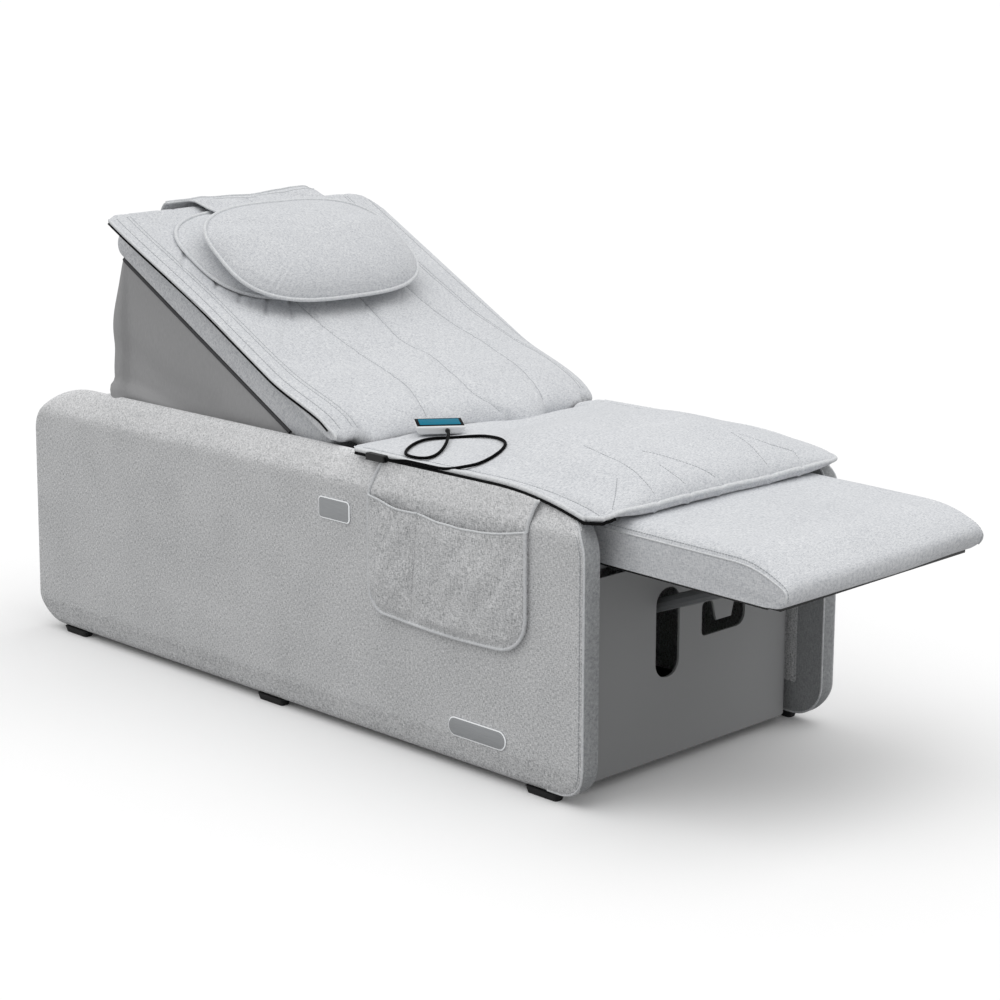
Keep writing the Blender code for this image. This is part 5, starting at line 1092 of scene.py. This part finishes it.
fold = [row[int(np.argmax(row[:, 2]))] + np.array((-0.001, 0, 0.0026)) for row in flap_grid]
flap_ends = [flap_grid[0][:40], flap_grid[-1][:40]]
piping("pillow_flap_piping", [*flap_ends, flap_rim, fold], 0.0024, PIPING_PAINTED_HIGHLIGHT, "backrest")
hem = [row[int(np.argmax(row[:, 2])) - 4] + np.array((0, 0, 0.0022)) for row in flap_grid[20:-4]]
piping("pillow_flap_hem", [hem], 0.0015, PIPING_PAINTED_HIGHLIGHT, "backrest")

# %% [markdown]
# The leg rest's pad is a firm foam block on a thin black board. Its sides are flat and upright, a piped seam
# runs along their upper edge and down the nose, and the nose rolls over to the board.

# %% Leg rest pad
LEG_HINGE = Vector((0.576, 0.0, 0.418))
LEG_TILT = math.radians(1.2)
LEG_X = np.array((math.cos(LEG_TILT), 0, -math.sin(LEG_TILT)))
LEG_Z = np.array((math.sin(LEG_TILT), 0, math.cos(LEG_TILT)))
LEG_HALF, PAD_LOW = 0.281, 0.0205


def on_leg(x, y, z):
    """Arrays of places along the leg rest in the room's metres."""
    x, y, z = np.broadcast_arrays(np.asarray(x, float), np.asarray(y, float), np.asarray(z, float))
    room = x[..., None] * LEG_X + z[..., None] * LEG_Z + np.array(LEG_HINGE)
    room[..., 1] = y
    return room


# The nose's outline from the flat top to the board: distance from the hinge, share of the pad's height
NOSE = np.array([
    (0.300, 1.0), (0.330, 1.0), (0.352, 0.985), (0.372, 0.93), (0.391, 0.83), (0.408, 0.715), (0.424, 0.59),
    (0.435, 0.50), (0.4415, 0.40), (0.4440, 0.28), (0.4440, 0.15), (0.4420, 0.02), (0.4370, -0.07)])
NOSE_FAR = np.array((0, 0, 3, 8, 13, 15, 12, 7, 3.5, 0.5, -2.5, -7, -10)) / 1000
SHOULDER, SHOULDER_FAR, SHOULDER_RISE = 0.036, 0.022, 0.023


def far_share(y):
    """How far a place across the leg rest is on the way from its middle to its far side."""
    return float(ease((y - 0.02) / 0.24))


def leg_section(inset, y):
    """One upright section of the pad at a distance in from its side: the top swells up from the side seam."""
    edge = edge_round(inset, 0.004)
    shoulder = SHOULDER_FAR if y > 0 else SHOULDER
    round_up = math.sqrt(1 - (1 - min(1.0, inset / shoulder)) ** 2)
    top = 0.060 + SHOULDER_RISE * round_up + 0.003 * float(ease(inset / LEG_HALF)) - edge
    rear_x = np.array([edge, edge, edge + 0.003])
    rear_z = np.array([0.0, top - 0.012, top - 0.003])
    flat_x = np.linspace(0.010, NOSE[0, 0] - 0.004, 60)
    flat_z = np.full(60, top) + 0.0011 * ripple(flat_x, np.full(60, y), 0.17, 2) * float(ease(inset / 0.05))
    walk = np.linspace(0, len(NOSE) - 1, 60)
    share = np.interp(walk, range(len(NOSE)), NOSE[:, 1])
    nose_line = NOSE[:, 0] + NOSE_FAR * far_share(y)
    nose_x = np.interp(walk, range(len(NOSE)), nose_line)
    nose_x = smoothed(nose_x, 4)
    share = smoothed(share, 4)
    nose_x = nose_x - edge * 1.2 * ease((nose_x - 0.36) / 0.07)
    nose_z = 0.012 + (top - 0.012) * share
    under_x = np.array([0.431, 0.424, 0.402]) - edge + NOSE_FAR[-1] * far_share(y) * np.array([1, 0.7, 0])
    under_z = np.array([0.0040, 0.0022, 0.0])
    x = np.concatenate([rear_x, flat_x, nose_x, under_x])
    return x, PAD_LOW + np.concatenate([rear_z, flat_z, nose_z, under_z])


insets = [0.0, 0.0006, 0.0016, 0.0030, 0.0050, 0.0075, 0.0105, 0.014, 0.018, 0.0225, 0.028, 0.034]
while insets[-1] < LEG_HALF - 0.008:
    insets.append(insets[-1] + 0.0085)
across = [-(LEG_HALF - i) for i in insets] + [0.0] + [LEG_HALF - i for i in reversed(insets)]
rings = []
for y in across:
    x, z = leg_section(LEG_HALF - abs(y), y)
    rings.append(on_leg(x, y, z))
leg_pad = loft("leg_rest_pad", rings, FABRIC, "leg_rest", sharp=50)
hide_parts("leg_pad")
run = slice(2, 2 + 1 + 60 + 54)
seams, rows = [], []
for side in (-1, 1):
    x, z = leg_section(0.0012, side * LEG_HALF)
    seams.append(on_leg(x[run], side * (LEG_HALF - 0.0006), z[run] - 0.0004))
    inner_x, inner_z = leg_section(0.0044, side * (LEG_HALF - 0.0044))
    rows.append(on_leg(inner_x[run], side * (LEG_HALF - 0.0044), inner_z[run] + 0.0002))
piping("leg_pad_piping", seams, 0.0017, PIPING_PAINTED_HIGHLIGHT, "leg_rest")
stitches("leg_pad_stitches", rows, (0.1, 0.3, 1), "leg_rest")
# How much further in the lip lies at the far side
LIP_TAPER = 0.009
board_low, board_high = (0.4003, -0.270, PAD_LOW - 0.0048), (0.4240, 0.272, PAD_LOW + 0.0015)
board_lip = bevelled_block("leg_board_lip", board_low, board_high, 0.0015, 2,
                           BLACK_ABS, "leg_rest")
for vertex in board_lip.data.vertices:
    x, y, z = vertex.co
    vertex.co = on_leg(x - LIP_TAPER * far_share(y), y, z)
print(leg_pad.name, len(leg_pad.data.polygons), "faces")

# %% [markdown]
# A stretch knit closes the wedge between the raised backrest and the base on three sides. It hangs from the
# deck's underside into the base, a little slack at the head end, with a few long soft folds.

# %% Gusset cloth
# A dark grey cord runs along the gusset's top edge, just under the deck
DARK_TOP_EDGE = plain_finish("dark_grey_knit_edge", "#4C4C4D", "#58585A", 700, 0.95, 0.0002, 0.0, 0.1)
GUSSET_HALF, GUSSET_LOW, GUSSET_CORNER = 0.3020, 0.483, 0.016
head_x = BACK_HINGE.x - (DECK_LENGTH - 0.028) * math.cos(BACK_ANGLE)
foot_x = BACK_HINGE.x - 0.100
turn_x = head_x + GUSSET_CORNER
plan = [(x, -GUSSET_HALF) for x in np.linspace(foot_x, turn_x, 56)]
plan += [(turn_x - GUSSET_CORNER * math.sin(a), -GUSSET_HALF + GUSSET_CORNER * (1 - math.cos(a)))
         for a in np.linspace(0.2, math.pi / 2, 8)]
plan += [(head_x, y) for y in np.linspace(-GUSSET_HALF + 0.024, GUSSET_HALF - 0.024, 60)]
plan += [(turn_x - GUSSET_CORNER * math.cos(a), GUSSET_HALF - GUSSET_CORNER + GUSSET_CORNER * math.sin(a))
         for a in np.linspace(0, math.pi / 2 - 0.2, 8)]
plan += [(x, GUSSET_HALF) for x in np.linspace(turn_x, foot_x, 56)]
plan = np.array(plan)
step = np.gradient(plan, axis=0)
outward = np.stack([-step[:, 1], step[:, 0]], axis=1)
outward /= np.linalg.norm(outward, axis=1, keepdims=True)
walked = np.concatenate([[0.0], np.cumsum(np.linalg.norm(np.diff(plan, axis=0), axis=1))])
under = (BOARD_UNDER - 0.0006 - (plan[:, 0] - BACK_HINGE.x) * math.sin(BACK_ANGLE)) / math.cos(BACK_ANGLE)
deck_z = BACK_HINGE.z + under
near = plan[:, 1] < 0
on_side = np.abs(plan[:, 1]) > 0.28
rear_facing = np.clip(-outward[:, 0], 0, 1)
crease_height = 0.585 - 0.030 * ease((plan[:, 0] - head_x) / 0.20)
LONG_FOLD = ((head_x + 0.02, 0.66), (head_x + 0.14, 0.60), (head_x + 0.30, 0.575))
gusset_grid = []
for level in np.linspace(0, 1, 44):
    z = GUSSET_LOW + (deck_z - GUSSET_LOW) * level
    slack = 0.040 * rear_facing ** 0.6 * (1 - level ** 3.2) * (0.62 + 0.38 * float(ease(level / 0.45)))
    belly = math.sin(math.pi * min(1.0, level * 1.04)) if level < 0.96 else 0.0
    fold = 0.0035 * belly * ripple(walked, z, 0.42, 4)
    crease = ease((crease_height + 0.010 - z) / 0.022) * ease((-0.50 - plan[:, 0]) / 0.16) * on_side
    second = groove(plan[:, 0], z, LONG_FOLD, 0.030) * on_side
    rear_wave = 0.0035 * np.sin((z - 0.50) * 34) * rear_facing * belly
    push = np.minimum(fold + 0.0130 * crease * near - 0.004 * second + slack + rear_wave, 0.060)
    pushed = plan + outward * push[:, None]
    gusset_grid.append(np.column_stack([pushed, z]))
gusset = cloth_sheet("stretch_gusset", gusset_grid, 0.0016, KNIT, "base")
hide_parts("gusset")
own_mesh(gusset)
top_edge_line = [p + np.array((0, math.copysign(0.0010, p[1]), -0.0045))
           for p in gusset_grid[-1] if abs(p[1]) > 0.30]
halves = [[p for p in top_edge_line if p[1] < 0], [p for p in top_edge_line if p[1] > 0]]
piping("gusset_dark_top_edge", halves, 0.0042, DARK_TOP_EDGE, "backrest")

# %% [markdown]
# The pocket is a sheet of the same fabric that tucks under the seat mat and hangs down the near panel. A
# second sheet is sewn onto it along its sides, its bottom and one divider, which makes two compartments. The
# outer sheet stands a little off the backing, sags at both mouths and is wrinkled by use. Its edge is piped.

# %% Pocket
POCKET_REAR, POCKET_FRONT, POCKET_LOW = 0.099, 0.511, 0.264
POCKET_DIVIDER, DIVIDER_LEAN = 0.236, 0.022
BACKING_Y = -HALF_WIDTH - 0.0016
MAT_CLEARANCE = 0.0115


def pocket_bottom(x):
    """The pocket's rounded bottom edge."""
    low = np.full_like(x, POCKET_LOW)
    for end, radius in ((POCKET_REAR, 0.050), (POCKET_FRONT, 0.062)):
        near = np.clip(radius - np.abs(x - end), 0, radius)
        low = low + radius - np.sqrt(np.maximum(0, radius ** 2 - near ** 2))
    return low + 0.004 * np.cos((x - POCKET_REAR) * 13)


def pocket_mouth(x):
    """The upper edge of the outer sheet: it sags between its sewn sides and the divider."""
    rear = np.clip((x - POCKET_REAR) / (POCKET_DIVIDER - POCKET_REAR), 0, 1)
    front = np.clip((x - POCKET_DIVIDER) / (POCKET_FRONT - POCKET_DIVIDER), 0, 1)
    rear_edge = 0.490 - 0.014 * ease(rear * 1.4) + 0.001 * rear
    front_edge = 0.4765 - 0.008 * np.sin(math.pi * front) + 0.013 * front ** 3
    return np.where(x < POCKET_DIVIDER, rear_edge, front_edge)


def pocket_stand(x, up):
    """How far the outer sheet stands off its backing, by place along and share of the height."""
    rear = np.clip((x - POCKET_REAR) / (POCKET_DIVIDER - POCKET_REAR), 0, 1)
    front = np.clip((x - POCKET_DIVIDER) / (POCKET_FRONT - POCKET_DIVIDER), 0, 1)
    bow = np.where(x < POCKET_DIVIDER, np.sin(math.pi * rear) ** 0.42, np.sin(math.pi * front) ** 0.40)
    fill = 0.0125 * bow * np.sin(math.pi * np.clip(0.16 + up * 0.66, 0, 1)) * ease(up / 0.10)
    crumple = 0.0030 * ripple(x * 1.0, up * 0.22, 0.085, 5) * ease(up / 0.15) * bow
    drape = -0.0040 * groove(x, up * 0.22, ((0.496, 0.186), (0.435, 0.097)), 0.013)
    drape = drape + 0.0022 * groove(x, up * 0.22, ((0.150, 0.040), (0.130, 0.120)), 0.016)
    return 0.0054 + np.maximum(0.0, fill + crumple + drape * bow)


columns = np.sort(np.concatenate([np.linspace(POCKET_REAR, POCKET_FRONT, 130),
                                  [POCKET_DIVIDER - 0.0015, POCKET_DIVIDER + 0.0015]]))
bottom, mouth = pocket_bottom(columns), pocket_mouth(columns)
divider_share = np.interp(columns, (POCKET_REAR, POCKET_DIVIDER, POCKET_FRONT), (0, 1, 0))
front_grid = []
for up in np.linspace(0, 1, 70):
    z = bottom + (mouth - bottom) * up
    lean = DIVIDER_LEAN * (up - 1) * divider_share
    y = BACKING_Y - pocket_stand(columns, np.full_like(columns, up))
    front_grid.append(np.stack([columns + lean, y, z], axis=1))
outer_sheet = cloth_sheet("pocket_outer_sheet", front_grid, 0.0020, FABRIC_SIDE, "base")
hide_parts("pocket")

# The backing's course up the panel and over its shoulder: height, place across, share of the lean
shoulder = [(0.258, BACKING_Y, 0.0), (0.440, BACKING_Y, 0.0), (0.490, BACKING_Y, 0.0),
            (0.502, BACKING_Y + 0.0006, 0.06),
            (0.530, BACKING_Y + 0.0066, 0.45), (0.552, BACKING_Y + 0.0112, 0.92),
            (0.5596, BACKING_Y + 0.0140, 1.0),
            (0.5604, BACKING_Y + 0.0200, 1.0), (0.5604, BACKING_Y + 0.0330, 1.0)]
heights = np.linspace(0, len(shoulder) - 1, 70)
z_line, y_line, lean_line = (np.interp(heights, range(len(shoulder)), line) for line in zip(*shoulder))
BACKING_WRINKLES = (((0.452, 0.488), (0.462, 0.508)), ((0.474, 0.490), (0.482, 0.516)),
                    ((0.497, 0.491), (0.500, 0.512)),
                    ((0.258, 0.482), (0.268, 0.506)), ((0.110, 0.490), (0.112, 0.515)))
backing_grid = []
for z, y, lean in zip(z_line, y_line, lean_line):
    share = (columns - POCKET_REAR) / (POCKET_FRONT - POCKET_REAR)
    shift = lean * (0.023 + (0.021 - 0.023) * share)
    mat_edge = seat_upper(columns + shift, -MAT_HALF, SEAT_FRONT - NEAR_CORNER)
    level = np.minimum(np.maximum(z, bottom + 0.0005), mat_edge - MAT_CLEARANCE)
    wave = np.clip(ripple(columns, np.full_like(columns, z), 0.12, 6), 0, 1)
    loose = 0.0024 * wave * ease((z - 0.46) / 0.04) * ease((0.552 - z) / 0.03)
    for wrinkle in BACKING_WRINKLES:
        loose = loose + 0.0022 * groove(columns, np.full_like(columns, z), wrinkle, 0.0045)
    backing_grid.append(np.stack([columns + shift, y - loose, level], axis=1))
backing = cloth_sheet("pocket_backing_sheet", backing_grid, 0.0018, FABRIC_SIDE, "base")
outer = np.array(front_grid)
rim = [*outer[::-1, 0], *outer[0, 1:-1], *outer[:, -1]]
rim = [np.array(p) + np.array((0, -0.0010, 0)) for p in rim]
straps = np.array([row for row, z in zip(backing_grid, z_line) if 0.485 < z < 0.553])
strap_rear = [p + np.array((0, -0.0022, 0)) for p in straps[:, 0]]
strap_front = [p + np.array((0, -0.0022, 0)) for p in straps[:, -1]]
piping("pocket_piping", [rim, strap_rear, strap_front], 0.0032, PIPING_PAINTED_HIGHLIGHT, "base")
mouth_rear = [p + np.array((0, -0.0004, 0)) for p in outer[-1] if p[0] <= POCKET_DIVIDER]
mouth_front = [p + np.array((0, -0.0004, 0)) for p in outer[-1] if p[0] >= POCKET_DIVIDER]
piping("pocket_mouth_binding", [mouth_rear, mouth_front], 0.0023, PIPING_PAINTED_HIGHLIGHT, "base")

# %% [markdown]
# Two bare metal plates are fixed to the near panel: a small one by the back hinge and a pill-shaped one low
# at the foot end. Each is brushed sheet with a polished bevel round its edge, so a rounded plate is bevelled
# and the bevel's faces get the bright finish.

# %% Metal plates
POLISHED = plain_finish("polished_bevel", "#DADCDE", "#E6E8EA", 1500, 0.12, 0.00001, 1.0)
PLATE = plain_finish("brushed_plate", "#8B8D8F", "#9A9C9E", 1500, 0.45, 0.00003, 0.6, 0.5, (0.03, 1, 1))


def metal_plate(name, node, corner):
    """A rounded plate standing up on the near panel, its rim bevelled and polished."""
    low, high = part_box(node)
    length, height = high[0] - low[0], high[2] - low[2]
    bpy.ops.object.select_all(action="DESELECT")
    bpy.ops.mesh.primitive_cube_add(size=1.0, location=[(a + b) / 2 for a, b in zip(low, high)])
    plate = bpy.context.object
    plate.name = name
    plate.scale = (length, high[1] - low[1], height)
    bpy.ops.object.transform_apply(location=True, rotation=True, scale=True)
    bpy.ops.object.mode_set(mode="EDIT")
    bm = bmesh.from_edit_mesh(plate.data)
    for edge in bm.edges:
        a, b = edge.verts
        edge.select_set(abs(a.co.y - b.co.y) > 1e-4)
    bmesh.update_edit_mesh(plate.data)
    bpy.ops.mesh.bevel(offset=corner, segments=12, affect="EDGES")
    bm = bmesh.from_edit_mesh(plate.data)
    for face in bm.faces:
        face.select_set(face.normal.y < -0.9)
    bmesh.update_edit_mesh(plate.data)
    bpy.ops.mesh.inset(thickness=0.0022, depth=0.0009)
    bpy.ops.object.mode_set(mode="OBJECT")
    plate.data.materials.clear()
    plate.data.materials.append(PLATE)
    plate.data.materials.append(POLISHED)
    front = min(v.co.y for v in plate.data.vertices)
    for face in plate.data.polygons:
        flat = all(abs(plate.data.vertices[i].co.y - front) < 1e-5 for i in face.vertices)
        face.material_index = 0 if flat or face.normal.y > 0.5 else 1
    bpy.ops.object.shade_smooth_by_angle(angle=math.radians(25))
    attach(plate, "base")
    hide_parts(node)
    print(name, round(length, 3), round(height, 3))


metal_plate("hinge_plate", "small_plate", 0.009)
metal_plate("badge_plate", "pill_plate", 0.0180)

# %% [markdown]
# The hand control lies on the seat: a white moulded shell with soft edges, a black bezel let into its top,
# and a lit blue-green screen in the bezel. Each is a bevelled block, made level and then turned with the
# seat's slope.

# %% Hand control
SCREEN = plain_finish("lit_screen", "#0A5468", "#0C5F76", 60, 0.5, 0.00001, 0.0, 0.02)
screen_shader = next(n for n in SCREEN.node_tree.nodes if n.type == "BSDF_PRINCIPLED")
screen_shader.inputs["Emission Color"].default_value = linear("#1795B4")
screen_shader.inputs["Emission Strength"].default_value = 0.20
remote_middle = (Vector(remote_low) + Vector(remote_high)) / 2
screen_low, screen_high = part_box("remote_screen")
screen_middle = (Vector(screen_low) + Vector(screen_high)) / 2
rise = (screen_middle - remote_middle).dot(remote_up)


def control_block(name, size, up, edge, material):
    """A bevelled block centred over the hand control's middle and turned with it."""
    half = [v / 2 for v in size]
    block = bevelled_block(name, [-h for h in half], half, edge, 4, material, "base")
    for vertex in block.data.vertices:
        vertex.co = remote_turn @ (vertex.co + Vector((0, 0, up))) + remote_middle
    return block


shell = control_block("hand_control_shell", (0.098, 0.080, 0.017), 0.0, 0.0055, WHITE_ABS)
for vertex in shell.data.vertices:
    place = remote_turn.inverted() @ (vertex.co - remote_middle)
    taper = 1 - 0.13 * max(0.0, min(1.0, 0.5 - place.z / 0.017))
    vertex.co = remote_turn @ Vector((place.x * taper, place.y * taper, place.z)) + remote_middle
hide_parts("remote_body")
control_block("hand_control_bezel", (0.090, 0.070, 0.0010), rise, 0.0004, BEZEL)
screen = control_block("hand_control_screen", (0.078, 0.056, 0.0010), rise + 0.0003, 0.0003, SCREEN)
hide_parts("remote_screen")
print("hand control at", [round(v, 3) for v in remote_middle], "screen rise", round(rise, 4))
